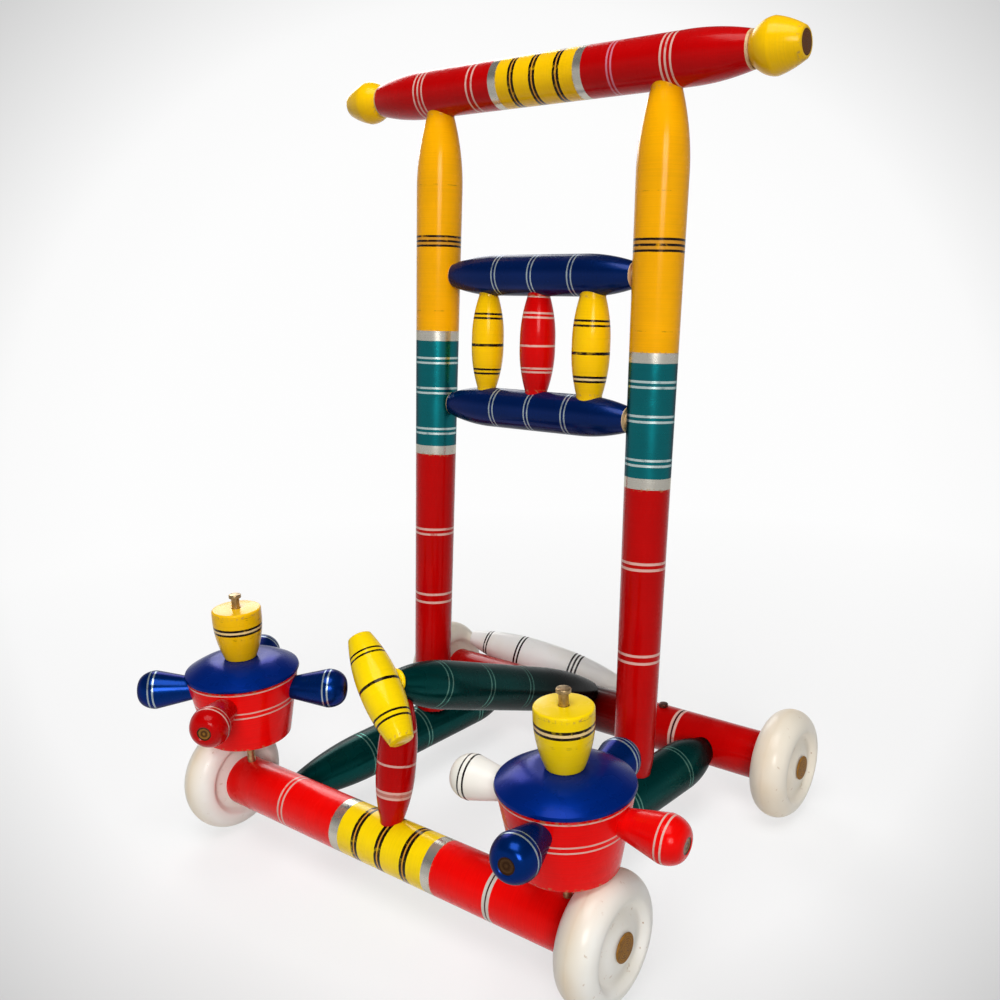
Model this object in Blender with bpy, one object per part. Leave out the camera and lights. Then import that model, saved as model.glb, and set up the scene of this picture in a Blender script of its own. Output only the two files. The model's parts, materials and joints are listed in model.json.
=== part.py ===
"""Wooden push walker: a turned frame on four wheels, with two spinners and a propeller.

The pieces are laid out with the origin on the floor under the front axle beam's middle:
X runs along the beams, Y towards the handle and Z up. The whole walker is then moved so
that the origin is under the middle of its box.
"""
import math

import bmesh
import bpy
from mathutils import Vector, geometry

MM = 0.001

# Gaps between pieces
GLUE_GAP = 0.35 * MM
TURN_GAP = 0.45 * MM
END_GAP = 0.5 * MM

# Wheels
WHEEL_RADIUS = 35.5 * MM
WHEEL_WIDTH = 24 * MM
WHEEL_SIDE_RADIUS = 24 * MM
WHEEL_HUB_RADIUS = 11 * MM
WHEEL_HUB_INSET = 1 * MM
WHEEL_DISH_RADIUS = 17 * MM
WHEEL_DISH_DEPTH = 5 * MM
PIN_RADIUS = 5.5 * MM
PIN_HEAD_RADIUS = 7.7 * MM
PIN_HEAD_HEIGHT = 2 * MM
PIN_DEPTH = 30 * MM

# Axle beams and side rails
WHEELBASE = 216 * MM
AXLE_HALF_LENGTH = 133 * MM
AXLE_RADIUS = 15.8 * MM
AXLE_CHAMFER = 1.3 * MM
LEFT_RAIL_FRONT_X = -96.4 * MM
LEFT_RAIL_REAR_X = -79.6 * MM
RIGHT_RAIL_FRONT_X = 76.3 * MM
RIGHT_RAIL_REAR_X = 95 * MM
RAIL_RADIUS = 15.4 * MM
RAIL_END_RADIUS = 8.8 * MM
RAIL_FRONT_TAPER = 54 * MM
RAIL_REAR_TAPER = 30 * MM
RAIL_PLUG = 8 * MM

# Posts
POST_X = 83.5 * MM
POST_LEAN = math.radians(5.6)
POST_BASE_Y = 128.5 * MM
POST_FOOT_START = 3 * MM
POST_FOOT_RADIUS = 11 * MM
POST_FOOT_LENGTH = 24 * MM
POST_LOW_RADIUS = 12.4 * MM
POST_TOP_RADIUS = 15.1 * MM
POST_NECK_RADIUS = 9 * MM
POST_NECK_TAPER = 44 * MM
POST_TOP_PLUG = 8 * MM

# Handle bar and knobs
HANDLE_HEIGHT = 465 * MM
HANDLE_HALF_LENGTH = 135 * MM
HANDLE_RADIUS = 15.1 * MM
HANDLE_END_RADIUS = 10 * MM
HANDLE_TAPER = 38 * MM
KNOB_LENGTH = 28 * MM
LEFT_KNOB_RADIUS = 13.7 * MM
RIGHT_KNOB_RADIUS = 15 * MM
KNOB_NECK_RADIUS = 9 * MM
KNOB_END_RADIUS = 7.8 * MM
KNOB_BELLY = 12 * MM
KNOB_DOWEL_RADIUS = 6.4 * MM
KNOB_DOWEL_DEPTH = 18 * MM

# Crossbars and the spindles between them
UPPER_CROSSBAR_HEIGHT = 349.8 * MM
LOWER_CROSSBAR_HEIGHT = 266 * MM
CROSSBAR_LENGTH = 135 * MM
CROSSBAR_RADIUS = 12.7 * MM
CROSSBAR_END_RADIUS = 7.6 * MM
CROSSBAR_TAPER = 34 * MM
CROSSBAR_TENON_RADIUS = 4.8 * MM
CROSSBAR_TENON = 10 * MM
SPINDLE_SPACING = 40 * MM
SPINDLE_RADIUS = 10.1 * MM
SPINDLE_END_RADIUS = 5.8 * MM
SPINDLE_PLUG = 6 * MM

# Centre bar, its post and the propeller
CENTRE_BAR_RISE = 13 * MM
CENTRE_BAR_TENON_RADIUS = 3.3 * MM
CENTRE_BAR_TENON = 16 * MM
CENTRE_BAR_SHOULDER = 10 * MM
CENTRE_BAR_NOSE_Y = 12.6 * MM
CENTRE_BAR_NOSE_HEIGHT = 132 * MM
CENTRE_BAR_RADIUS = 14.6 * MM
CENTRE_BAR_REAR_RADIUS = 7.5 * MM
CENTRE_BAR_NOSE_RADIUS = 7.4 * MM
CENTRE_BAR_REAR_TAPER = 64 * MM
CENTRE_BAR_NOSE_TAPER = 42 * MM
CENTRE_POST_BASE_Y = -2 * MM
CENTRE_POST_LEAN = math.radians(11.5)
CENTRE_POST_START = 9 * MM
CENTRE_POST_RADIUS = 11.4 * MM
CENTRE_POST_END_RADIUS = 6.7 * MM
CENTRE_POST_TAPER = 30 * MM
CENTRE_POST_SHOULDER = 11.5 * MM
CENTRE_POST_TENON_RADIUS = 4.2 * MM
CENTRE_POST_TENON_STOP = 6.6 * MM
HUB_PEG_RADIUS = 4.4 * MM
HUB_PEG_DEPTH = 14 * MM
HUB_BEAD_RADIUS = 8 * MM
HUB_BEAD_LENGTH = 3.5 * MM
HUB_BLADE_DEPTH = 9 * MM
BLADE_LENGTH = 66 * MM
BLADE_RADIUS = 12 * MM
BLADE_END_RADIUS = 7 * MM
BLADE_OFFSET = 4 * MM
BLADE_TURN = math.radians(44.5)

# Spinners
NAIL_X = 124 * MM
NAIL_BOTTOM = 24 * MM
NAIL_TOP = 165 * MM
NAIL_RADIUS = 2.5 * MM
NAIL_HEAD_RADIUS = 4.2 * MM
NAIL_HEAD_HEIGHT = 1.6 * MM
DRUM_HEIGHT = 42 * MM
DRUM_BOTTOM_RADIUS = 27 * MM
DRUM_TOP_RADIUS = 34.3 * MM
DRUM_EDGE = 1.2 * MM
LID_HEIGHT = 10 * MM
LID_RADIUS = 35.4 * MM
LID_EDGE = 2.4 * MM
CAP_HEIGHT = 32 * MM
CAP_BOTTOM_RADIUS = 9.9 * MM
CAP_RADIUS = 15.2 * MM
PEG_DROP = 10 * MM
PEG_ROOT = 20 * MM
LEFT_PEG_REACH = 67.5 * MM
RIGHT_PEG_REACH = 65.6 * MM
PEG_ROOT_RADIUS = 6 * MM
PEG_FLARE_RADIUS = 12.5 * MM
PEG_ROUND = 10 * MM
PEG_TIP_RADIUS = 5 * MM

# Finish, turn and upward tilt of each peg, in degrees, as they stand in the photo
LEFT_PEGS = (("blue", -141, 0), ("red", -58.7, 0), ("blue", 30.7, 0), ("blue", 128.7, 0))
RIGHT_PEGS = (("white", -173.7, 0), ("blue", -79.1, 6), ("red", 3.3, -3), ("blue", 94.1, -4))

# White bar behind the rear beam
REAR_BAR_WHEEL_GAP = 1.4 * MM
REAR_BAR_LEFT_BACK = 18.8 * MM
REAR_BAR_LEFT_UP = 20.4 * MM
REAR_BAR_RIGHT_X = -1 * MM
REAR_BAR_RIGHT_BACK = 46 * MM
REAR_BAR_RIGHT_DOWN = 4 * MM
REAR_BAR_RADIUS = 15.1 * MM
REAR_BAR_END_RADIUS = 5.6 * MM
REAR_BAR_TENON_RADIUS = 4.6 * MM
REAR_BAR_TENON = 6 * MM
REAR_BAR_DOWEL_AT = 0.36
REAR_BAR_DOWEL_RADIUS = 3.5 * MM
REAR_BAR_DOWEL_START = 8 * MM
REAR_BAR_DOWEL_DEPTH = 6 * MM
AXLE_NAIL_X = 56 * MM
AXLE_NAIL_RADIUS = 1.5 * MM
AXLE_NAIL_HEAD_RADIUS = 3.2 * MM
AXLE_NAIL_HEAD_HEIGHT = 2.4 * MM
AXLE_NAIL_DEPTH = 9 * MM

# Facets round a turned piece, and steps along a rounded taper
WHEEL_SIDES = 24
DRUM_SIDES = 20
BAR_SIDES = 16
PIN_SIDES = 12
TAPER_STEPS = 3

X_AXIS = Vector((1, 0, 0))
Z_AXIS = Vector((0, 0, 1))
SIDES = (("left", -1), ("right", 1))
RAIL_ENDS = {
    "left": (LEFT_RAIL_FRONT_X, LEFT_RAIL_REAR_X),
    "right": (RIGHT_RAIL_FRONT_X, RIGHT_RAIL_REAR_X),
}
KNOB_RADII = {"left": LEFT_KNOB_RADIUS, "right": RIGHT_KNOB_RADIUS}

# Colour, roughness and metallic of each finish
FINISHES = {
    "red": ((0.55, 0.02, 0.015), 0.3, 0.0),
    "blue": ((0.01, 0.03, 0.25), 0.3, 0.0),
    "green": ((0.01, 0.09, 0.05), 0.3, 0.0),
    "yellow": ((0.85, 0.5, 0.02), 0.3, 0.0),
    "white": ((0.85, 0.8, 0.68), 0.35, 0.0),
    "brown": ((0.2, 0.09, 0.04), 0.6, 0.0),
    "nail": ((0.5, 0.38, 0.24), 0.35, 1.0),
}


def clear_scene():
    for obj in list(bpy.data.objects):
        bpy.data.objects.remove(obj, do_unlink=True)


def finish(name, kind):
    """A material of the object's own."""
    colour, roughness, metallic = FINISHES[kind]
    material = bpy.data.materials.new(name)
    material.use_nodes = True
    shader = material.node_tree.nodes["Principled BSDF"]
    shader.inputs["Base Color"].default_value = (*colour, 1)
    shader.inputs["Roughness"].default_value = roughness
    shader.inputs["Metallic"].default_value = metallic
    return material


def empty(name, parent=None, origin=(0, 0, 0)):
    obj = bpy.data.objects.new(name, None)
    bpy.context.collection.objects.link(obj)
    obj.parent = parent
    obj.location = origin
    return obj


def place(obj, parent, origin, axis):
    """Put the object's own Z along the axis."""
    obj.parent = parent
    obj.location = origin
    obj.rotation_mode = "QUATERNION"
    obj.rotation_quaternion = Z_AXIS.rotation_difference(Vector(axis).normalized())


def turned_mesh(name, profile, sides):
    """A closed solid turned from (height, radius) points that start and end on the axis."""
    angles = [2 * math.pi * (k + 0.5) / sides for k in range(sides)]
    bm = bmesh.new()
    bottom = bm.verts.new((0, 0, profile[0][0]))
    top = bm.verts.new((0, 0, profile[-1][0]))
    rings = []
    for height, radius in profile[1:-1]:
        rings.append([bm.verts.new((radius * math.cos(a), radius * math.sin(a), height)) for a in angles])
    for k in range(sides):
        n = (k + 1) % sides
        bm.faces.new((bottom, rings[0][n], rings[0][k]))
        bm.faces.new((top, rings[-1][k], rings[-1][n]))
        for low, high in zip(rings, rings[1:]):
            bm.faces.new((low[k], low[n], high[n], high[k]))
    mesh = bpy.data.meshes.new(name)
    bm.to_mesh(mesh)
    bm.free()
    mesh.shade_smooth()
    mesh.set_sharp_from_angle(angle=math.radians(38))
    return mesh


def turned(name, kind, profile, parent, origin, axis, sides=BAR_SIDES):
    """A turned piece that stands on the origin along the axis."""
    obj = bpy.data.objects.new(name, turned_mesh(name, profile, sides))
    bpy.context.collection.objects.link(obj)
    obj.data.materials.append(finish(name, kind))
    place(obj, parent, origin, axis)
    return obj


def socket(piece, plug, gap=GLUE_GAP):
    """Cut the room for the plug, and a gap round it, out of the piece."""
    cutter = bpy.data.objects.new(f"{plug.name}_in_{piece.name}", plug.data)
    bpy.context.collection.objects.link(cutter)
    cutter.parent = plug.parent
    cutter.location = plug.location
    cutter.rotation_mode = "QUATERNION"
    cutter.rotation_quaternion = plug.rotation_quaternion
    cutter.hide_render = True
    cutter.display_type = "WIRE"
    grow = cutter.modifiers.new("grow", "DISPLACE")
    grow.strength = gap
    grow.mid_level = 0
    cut = piece.modifiers.new(plug.name, "BOOLEAN")
    cut.operation = "DIFFERENCE"
    cut.solver = "EXACT"
    cut.object = cutter


def swell(start, end, thin, thick):
    """Points of a rounded taper that runs from the thin end up to the full radius."""
    points = []
    for k in range(TAPER_STEPS + 1):
        t = k / TAPER_STEPS
        points.append((start + (end - start) * t, thick - (thick - thin) * (1 - t) ** 2))
    return points


def bar_profile(length, radius, end_radius, taper, plug=0.0, plug_radius=0.0):
    """A bar about its own middle, with a straight part, two tapers and a plug at each end."""
    end = -length / 2
    low = [(end - plug, 0)]
    if plug:
        low.append((end - plug, plug_radius))
    if plug and plug_radius < end_radius:
        low.append((end, plug_radius))
    low += swell(end, end + taper, end_radius, radius)
    return low + [(-height, r) for height, r in reversed(low)]


def wheel_profile():
    half = WHEEL_WIDTH / 2
    low = [
        (-half + WHEEL_HUB_INSET, 0),
        (-half + WHEEL_HUB_INSET, WHEEL_HUB_RADIUS),
        (-half + WHEEL_DISH_DEPTH, WHEEL_DISH_RADIUS),
    ]
    for k in range(TAPER_STEPS):
        a = math.pi / 2 * k / TAPER_STEPS
        radius = WHEEL_SIDE_RADIUS + (WHEEL_RADIUS - WHEEL_SIDE_RADIUS) * math.sin(a)
        low.append((-half * math.cos(a), radius))
    return low + [(0, WHEEL_RADIUS)] + [(-height, r) for height, r in reversed(low)]


def pin_profile():
    """Wheel pin from its inner end, with zero at the beam's end face."""
    shank = END_GAP + WHEEL_WIDTH - WHEEL_HUB_INSET + END_GAP
    return [
        (-PIN_DEPTH, 0),
        (-PIN_DEPTH, PIN_RADIUS),
        (shank, PIN_RADIUS),
        (shank, PIN_HEAD_RADIUS),
        (shank + PIN_HEAD_HEIGHT, PIN_HEAD_RADIUS - AXLE_CHAMFER),
        (shank + PIN_HEAD_HEIGHT, 0),
    ]


def axle_beams(root):
    """Both beams with their wheels and wheel pins."""
    half = AXLE_HALF_LENGTH
    profile = [(-half, 0), (-half, AXLE_RADIUS - AXLE_CHAMFER), (-half + AXLE_CHAMFER, AXLE_RADIUS)]
    profile += [(-height, r) for height, r in reversed(profile)]
    beams = {}
    for end, y in (("front", 0), ("rear", WHEELBASE)):
        beam = turned(f"{end}_axle_beam", "red", profile, root, (0, y, WHEEL_RADIUS), X_AXIS)
        beams[end] = beam
        for side, sign in SIDES:
            name = f"{end}_{side}_wheel"
            pin_at = (sign * half, y, WHEEL_RADIUS)
            hub_at = (sign * (half + END_GAP + WHEEL_WIDTH / 2), y, WHEEL_RADIUS)
            pin = turned(f"{name}_pin", "brown", pin_profile(), root, pin_at, sign * X_AXIS, PIN_SIDES)
            wheel = turned(name, "white", wheel_profile(), root, hub_at, sign * X_AXIS, WHEEL_SIDES)
            socket(wheel, pin, TURN_GAP)
            socket(beam, pin)
            beams[f"{end}_{side}_pin"] = pin
    return beams


def rail_profile(length):
    """Side rail about its own middle, with a plug at each end."""
    end = length / 2
    tip = end + RAIL_PLUG
    front = swell(-end, -end + RAIL_FRONT_TAPER, RAIL_END_RADIUS, RAIL_RADIUS)
    rear = list(reversed(swell(end, end - RAIL_REAR_TAPER, RAIL_END_RADIUS, RAIL_RADIUS)))
    return [(-tip, 0), (-tip, RAIL_END_RADIUS)] + front + rear + [(tip, RAIL_END_RADIUS), (tip, 0)]


def side_frame(root, beams):
    """The rails between the beams and the posts that stand in them."""
    lean = Vector((0, math.sin(POST_LEAN), math.cos(POST_LEAN)))
    posts = []
    for side, sign in SIDES:
        front_x, rear_x = RAIL_ENDS[side]
        front = Vector((front_x, 0, WHEEL_RADIUS))
        rear = Vector((rear_x, WHEELBASE, WHEEL_RADIUS))
        profile = rail_profile((rear - front).length - 2 * AXLE_RADIUS)
        rail = turned(f"{side}_side_rail", "green", profile, root, (front + rear) / 2, rear - front)
        foot = (sign * POST_X, POST_BASE_Y, WHEEL_RADIUS)
        post = turned(f"{side}_post", "red", post_profile(), root, foot, lean)
        socket(beams["front"], rail)
        socket(beams["rear"], rail)
        socket(rail, post)
        posts.append(post)
    return posts


def post_profile():
    """Post from its foot, with zero at the rail's axis."""
    neck = (HANDLE_HEIGHT - WHEEL_RADIUS) / math.cos(POST_LEAN) - HANDLE_RADIUS
    foot = [
        (POST_FOOT_START, 0),
        (POST_FOOT_START, POST_FOOT_RADIUS),
        (RAIL_RADIUS, POST_FOOT_RADIUS),
        (POST_FOOT_LENGTH, POST_LOW_RADIUS),
    ]
    shoulder = list(reversed(swell(neck, neck - POST_NECK_TAPER, POST_NECK_RADIUS, POST_TOP_RADIUS)))
    end = neck + POST_TOP_PLUG
    return foot + shoulder + [(end, POST_NECK_RADIUS), (end, 0)]


def post_y(height):
    """Where the posts' axes are at a height above the floor."""
    return POST_BASE_Y + (height - WHEEL_RADIUS) * math.tan(POST_LEAN)


def handle(root, posts):
    """The push bar with a knob and its dowel at each end."""
    profile = bar_profile(2 * HANDLE_HALF_LENGTH, HANDLE_RADIUS, HANDLE_END_RADIUS, HANDLE_TAPER)
    y = post_y(HANDLE_HEIGHT)
    bar = turned("handle_bar", "red", profile, root, (0, y, HANDLE_HEIGHT), X_AXIS)
    for post in posts:
        socket(bar, post)
    dowel_profile = [
        (-KNOB_DOWEL_DEPTH, 0),
        (-KNOB_DOWEL_DEPTH, KNOB_DOWEL_RADIUS),
        (GLUE_GAP + KNOB_LENGTH, KNOB_DOWEL_RADIUS),
        (GLUE_GAP + KNOB_LENGTH, 0),
    ]
    for side, sign in SIDES:
        end = Vector((sign * HANDLE_HALF_LENGTH, y, HANDLE_HEIGHT))
        dowel = turned(f"{side}_knob_dowel", "brown", dowel_profile, root, end, sign * X_AXIS, PIN_SIDES)
        seat = end + sign * GLUE_GAP * X_AXIS
        profile = knob_profile(KNOB_RADII[side])
        knob = turned(f"{side}_handle_knob", "yellow", profile, root, seat, sign * X_AXIS)
        socket(bar, dowel)
        socket(knob, dowel)


def knob_profile(radius):
    belly = swell(0, KNOB_BELLY, KNOB_NECK_RADIUS, radius)
    nose = list(reversed(swell(KNOB_LENGTH, KNOB_BELLY, KNOB_END_RADIUS, radius)))
    return [(0, 0)] + belly + nose[1:] + [(KNOB_LENGTH, 0)]


def ladder(root, posts):
    """Two crossbars between the posts and three spindles between the crossbars."""
    profile = bar_profile(
        CROSSBAR_LENGTH, CROSSBAR_RADIUS, CROSSBAR_END_RADIUS, CROSSBAR_TAPER,
        CROSSBAR_TENON, CROSSBAR_TENON_RADIUS,
    )
    crossbars = []
    for name, height in (("upper", UPPER_CROSSBAR_HEIGHT), ("lower", LOWER_CROSSBAR_HEIGHT)):
        at = (0, post_y(height), height)
        crossbar = turned(f"{name}_crossbar", "blue", profile, root, at, X_AXIS)
        crossbars.append(crossbar)
        for post in posts:
            socket(post, crossbar)
    lean = Vector((0, math.sin(POST_LEAN), math.cos(POST_LEAN)))
    rise = (UPPER_CROSSBAR_HEIGHT - LOWER_CROSSBAR_HEIGHT) / math.cos(POST_LEAN)
    length = rise - 2 * CROSSBAR_RADIUS
    profile = bar_profile(
        length, SPINDLE_RADIUS, SPINDLE_END_RADIUS, 0.45 * length, SPINDLE_PLUG, SPINDLE_END_RADIUS
    )
    middle = (UPPER_CROSSBAR_HEIGHT + LOWER_CROSSBAR_HEIGHT) / 2
    for name, kind, step in (("left", "yellow", -1), ("middle", "red", 0), ("right", "yellow", 1)):
        at = (step * SPINDLE_SPACING, post_y(middle), middle)
        spindle = turned(f"{name}_spindle", kind, profile, root, at, lean)
        for crossbar in crossbars:
            socket(crossbar, spindle)


def centre_bar_profile(end):
    """Centre bar from its tenon in the rear beam to its nose, with zero over the beam's axis."""
    shoulder = CENTRE_BAR_SHOULDER
    start = shoulder - CENTRE_BAR_TENON
    rear = swell(shoulder, shoulder + CENTRE_BAR_REAR_TAPER, CENTRE_BAR_REAR_RADIUS, CENTRE_BAR_RADIUS)
    nose = swell(end, end - CENTRE_BAR_NOSE_TAPER, CENTRE_BAR_NOSE_RADIUS, CENTRE_BAR_RADIUS)
    tenon = [(start, 0), (start, CENTRE_BAR_TENON_RADIUS), (shoulder, CENTRE_BAR_TENON_RADIUS)]
    return tenon + rear + list(reversed(nose)) + [(end, 0)]


def centre_post_profile(reach):
    """Centre post from inside the front beam, with its tenon a little short of the bar's axis."""
    start = CENTRE_POST_START
    shoulder = reach - CENTRE_POST_SHOULDER
    tip = reach - CENTRE_POST_TENON_STOP
    low = swell(AXLE_RADIUS, AXLE_RADIUS + CENTRE_POST_TAPER, CENTRE_POST_END_RADIUS, CENTRE_POST_RADIUS)
    high = swell(shoulder, shoulder - CENTRE_POST_TAPER, CENTRE_POST_END_RADIUS, CENTRE_POST_RADIUS)
    foot = [(start, 0), (start, CENTRE_POST_END_RADIUS)]
    tenon = [(shoulder, CENTRE_POST_TENON_RADIUS), (tip, CENTRE_POST_TENON_RADIUS), (tip, 0)]
    return foot + low + list(reversed(high)) + tenon


def centre_bar(root, beams):
    """The sloping bar and the post under its nose. Returns the bar, its nose and its direction."""
    start = Vector((0, WHEELBASE, WHEEL_RADIUS + CENTRE_BAR_RISE))
    nose = Vector((0, CENTRE_BAR_NOSE_Y, CENTRE_BAR_NOSE_HEIGHT))
    slope = (nose - start).normalized()
    bar = turned("centre_bar", "green", centre_bar_profile((nose - start).length), root, start, slope)
    foot = Vector((0, CENTRE_POST_BASE_Y, WHEEL_RADIUS))
    lean = Vector((0, math.sin(CENTRE_POST_LEAN), math.cos(CENTRE_POST_LEAN)))
    meeting = geometry.intersect_line_line(foot, foot + lean, start, nose)[0]
    profile = centre_post_profile((meeting - foot).length)
    post = turned("centre_post", "red", profile, root, foot, lean)
    socket(beams["rear"], bar)
    socket(beams["front"], post)
    socket(bar, post)
    return bar, nose, slope


def propeller(root, bar, nose, slope):
    """The blade on its peg, which has a bead between the blade and the bar's nose."""
    bead = END_GAP + HUB_BEAD_LENGTH
    hub = nose + slope * (bead + GLUE_GAP + BLADE_RADIUS)
    axis = empty("propeller_axis", root, hub)
    back = -GLUE_GAP - BLADE_RADIUS
    profile = [
        (back - bead - HUB_PEG_DEPTH, 0),
        (back - bead - HUB_PEG_DEPTH, HUB_PEG_RADIUS),
        (back - HUB_BEAD_LENGTH, HUB_PEG_RADIUS),
        (back - HUB_BEAD_LENGTH, 0.8 * HUB_BEAD_RADIUS),
        (back - HUB_BEAD_LENGTH / 2, HUB_BEAD_RADIUS),
        (back, 0.8 * HUB_BEAD_RADIUS),
        (back, HUB_PEG_RADIUS),
        (back + HUB_BLADE_DEPTH, HUB_PEG_RADIUS),
        (back + HUB_BLADE_DEPTH, 0),
    ]
    peg = turned("propeller_peg", "yellow", profile, axis, (0, 0, 0), slope, PIN_SIDES)
    across = slope.cross(X_AXIS) * math.cos(BLADE_TURN) - X_AXIS * math.sin(BLADE_TURN)
    profile = bar_profile(BLADE_LENGTH, BLADE_RADIUS, BLADE_END_RADIUS, 0.48 * BLADE_LENGTH)
    blade = turned("propeller_blade", "yellow", profile, axis, across * -BLADE_OFFSET, across)
    socket(bar, peg, TURN_GAP)
    socket(blade, peg)


def peg_profile(reach):
    """Spinner peg outwards from the nail's axis."""
    points = [(PEG_ROOT, 0), (PEG_ROOT, PEG_ROOT_RADIUS), (DRUM_BOTTOM_RADIUS, PEG_ROOT_RADIUS)]
    points += list(reversed(swell(reach, reach - PEG_ROUND, PEG_TIP_RADIUS, PEG_FLARE_RADIUS)))
    return points + [(reach, 0)]


def drum_profile():
    return [
        (0, 0),
        (0, DRUM_BOTTOM_RADIUS - DRUM_EDGE),
        (DRUM_EDGE, DRUM_BOTTOM_RADIUS),
        (DRUM_HEIGHT - DRUM_EDGE, DRUM_TOP_RADIUS),
        (DRUM_HEIGHT, DRUM_TOP_RADIUS - DRUM_EDGE),
        (DRUM_HEIGHT, 0),
    ]


def lid_profile():
    points = [(0, 0), (0, LID_RADIUS - DRUM_EDGE), (DRUM_EDGE, LID_RADIUS)]
    for k in range(TAPER_STEPS + 1):
        t = k / TAPER_STEPS
        radius = LID_RADIUS - DRUM_EDGE / 2 - (LID_RADIUS - CAP_RADIUS) * t
        points.append((LID_EDGE + (LID_HEIGHT - LID_EDGE) * math.sin(math.pi / 2 * t), radius))
    return points + [(LID_HEIGHT, 0)]


def cap_profile():
    side = swell(0, 0.8 * CAP_HEIGHT, CAP_BOTTOM_RADIUS, CAP_RADIUS)
    top = [(CAP_HEIGHT - DRUM_EDGE, CAP_RADIUS), (CAP_HEIGHT, CAP_RADIUS - DRUM_EDGE), (CAP_HEIGHT, 0)]
    return [(0, 0)] + side + top


def nail_profile(bottom, neck, top, radius, head_radius):
    return [
        (bottom, 0),
        (bottom, radius),
        (neck, radius),
        (neck, head_radius),
        (top, 0.8 * head_radius),
        (top, 0),
    ]


def spinner(root, beams, side, sign, reach, pegs):
    """A drum on a nail, driven by the front wheel under it, with its lid, cap and pegs."""
    nail_at = Vector((sign * NAIL_X, 0, 0))
    profile = nail_profile(NAIL_BOTTOM, NAIL_TOP - NAIL_HEAD_HEIGHT, NAIL_TOP, NAIL_RADIUS, NAIL_HEAD_RADIUS)
    nail = turned(f"{side}_spinner_nail", "nail", profile, root, nail_at, Z_AXIS, PIN_SIDES)
    socket(beams["front"], nail)
    socket(beams[f"front_{side}_pin"], nail)
    bottom = 2 * WHEEL_RADIUS + GLUE_GAP
    axis = empty(f"{side}_spinner_axis", root, nail_at + bottom * Z_AXIS)
    drum = turned(f"{side}_drum", "red", drum_profile(), axis, (0, 0, 0), Z_AXIS, DRUM_SIDES)
    lid_at = (0, 0, DRUM_HEIGHT + GLUE_GAP)
    lid = turned(f"{side}_lid", "blue", lid_profile(), axis, lid_at, Z_AXIS, DRUM_SIDES)
    cap_at = (0, 0, DRUM_HEIGHT + LID_HEIGHT + 2 * GLUE_GAP)
    cap = turned(f"{side}_cap", "yellow", cap_profile(), axis, cap_at, Z_AXIS)
    for piece in (drum, lid, cap):
        socket(piece, nail, TURN_GAP)
    for k, (kind, turn, tilt) in enumerate(pegs):
        level = Vector((math.cos(math.radians(turn)), math.sin(math.radians(turn)), 0))
        out = level * math.cos(math.radians(tilt)) + Z_AXIS * math.sin(math.radians(tilt))
        at = DRUM_BOTTOM_RADIUS * (level - out) + (DRUM_HEIGHT - PEG_DROP) * Z_AXIS
        peg = turned(f"{side}_peg_{k + 1}", kind, peg_profile(reach), axis, at, out, PIN_SIDES)
        socket(drum, peg)


def rear_bar(root, beams):
    """The white bar behind the rear beam, its dowel, and the nail in the beam's top."""
    beam_axis = Vector((0, WHEELBASE, WHEEL_RADIUS))
    left_x = -AXLE_HALF_LENGTH + REAR_BAR_WHEEL_GAP
    left = Vector((left_x, REAR_BAR_LEFT_BACK, REAR_BAR_LEFT_UP))
    right = Vector((REAR_BAR_RIGHT_X, REAR_BAR_RIGHT_BACK, -REAR_BAR_RIGHT_DOWN))
    along = right - left
    half = along.length / 2
    low = [(-half, 0)] + swell(-half, -0.1 * half, REAR_BAR_END_RADIUS, REAR_BAR_RADIUS)
    high = list(reversed(swell(half, 0.1 * half, REAR_BAR_END_RADIUS, REAR_BAR_RADIUS)))
    tip = half + REAR_BAR_TENON
    tenon = [(half, REAR_BAR_TENON_RADIUS), (tip, REAR_BAR_TENON_RADIUS), (tip, 0)]
    bar = turned("rear_bar", "white", low + high + tenon, root, beam_axis + left + along / 2, along)
    joint = left + along * REAR_BAR_DOWEL_AT
    out = Vector((0, joint.y, joint.z))
    end = out.length - REAR_BAR_RADIUS + REAR_BAR_DOWEL_DEPTH
    profile = [(REAR_BAR_DOWEL_START, 0), (REAR_BAR_DOWEL_START, REAR_BAR_DOWEL_RADIUS)]
    profile += [(end, REAR_BAR_DOWEL_RADIUS), (end, 0)]
    at = beam_axis + joint.x * X_AXIS
    dowel = turned("rear_bar_dowel", "brown", profile, root, at, out, PIN_SIDES)
    socket(beams["rear"], dowel)
    socket(bar, dowel)
    neck = AXLE_RADIUS + GLUE_GAP
    profile = nail_profile(
        AXLE_RADIUS - AXLE_NAIL_DEPTH, neck, neck + AXLE_NAIL_HEAD_HEIGHT,
        AXLE_NAIL_RADIUS, AXLE_NAIL_HEAD_RADIUS,
    )
    nail_at = beam_axis + AXLE_NAIL_X * X_AXIS
    nail = turned("rear_axle_nail", "nail", profile, root, nail_at, Z_AXIS, PIN_SIDES)
    socket(beams["rear"], nail)


def centre_on_floor(root):
    """Move the walker so that the origin is under the middle of its box."""
    bpy.context.view_layer.update()
    points = []
    for obj in bpy.data.objects:
        if obj.type == "MESH" and not obj.hide_render:
            points += [obj.matrix_world @ vertex.co for vertex in obj.data.vertices]
    low = Vector(min(p[k] for p in points) for k in range(3))
    high = Vector(max(p[k] for p in points) for k in range(3))
    root.location = (-(low.x + high.x) / 2, -(low.y + high.y) / 2, -low.z)


def main():
    clear_scene()
    root = empty("walker")
    beams = axle_beams(root)
    posts = side_frame(root, beams)
    handle(root, posts)
    ladder(root, posts)
    bar, nose, slope = centre_bar(root, beams)
    propeller(root, bar, nose, slope)
    spinner(root, beams, "left", -1, LEFT_PEG_REACH, LEFT_PEGS)
    spinner(root, beams, "right", 1, RIGHT_PEG_REACH, RIGHT_PEGS)
    rear_bar(root, beams)
    centre_on_floor(root)


main()
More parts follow.
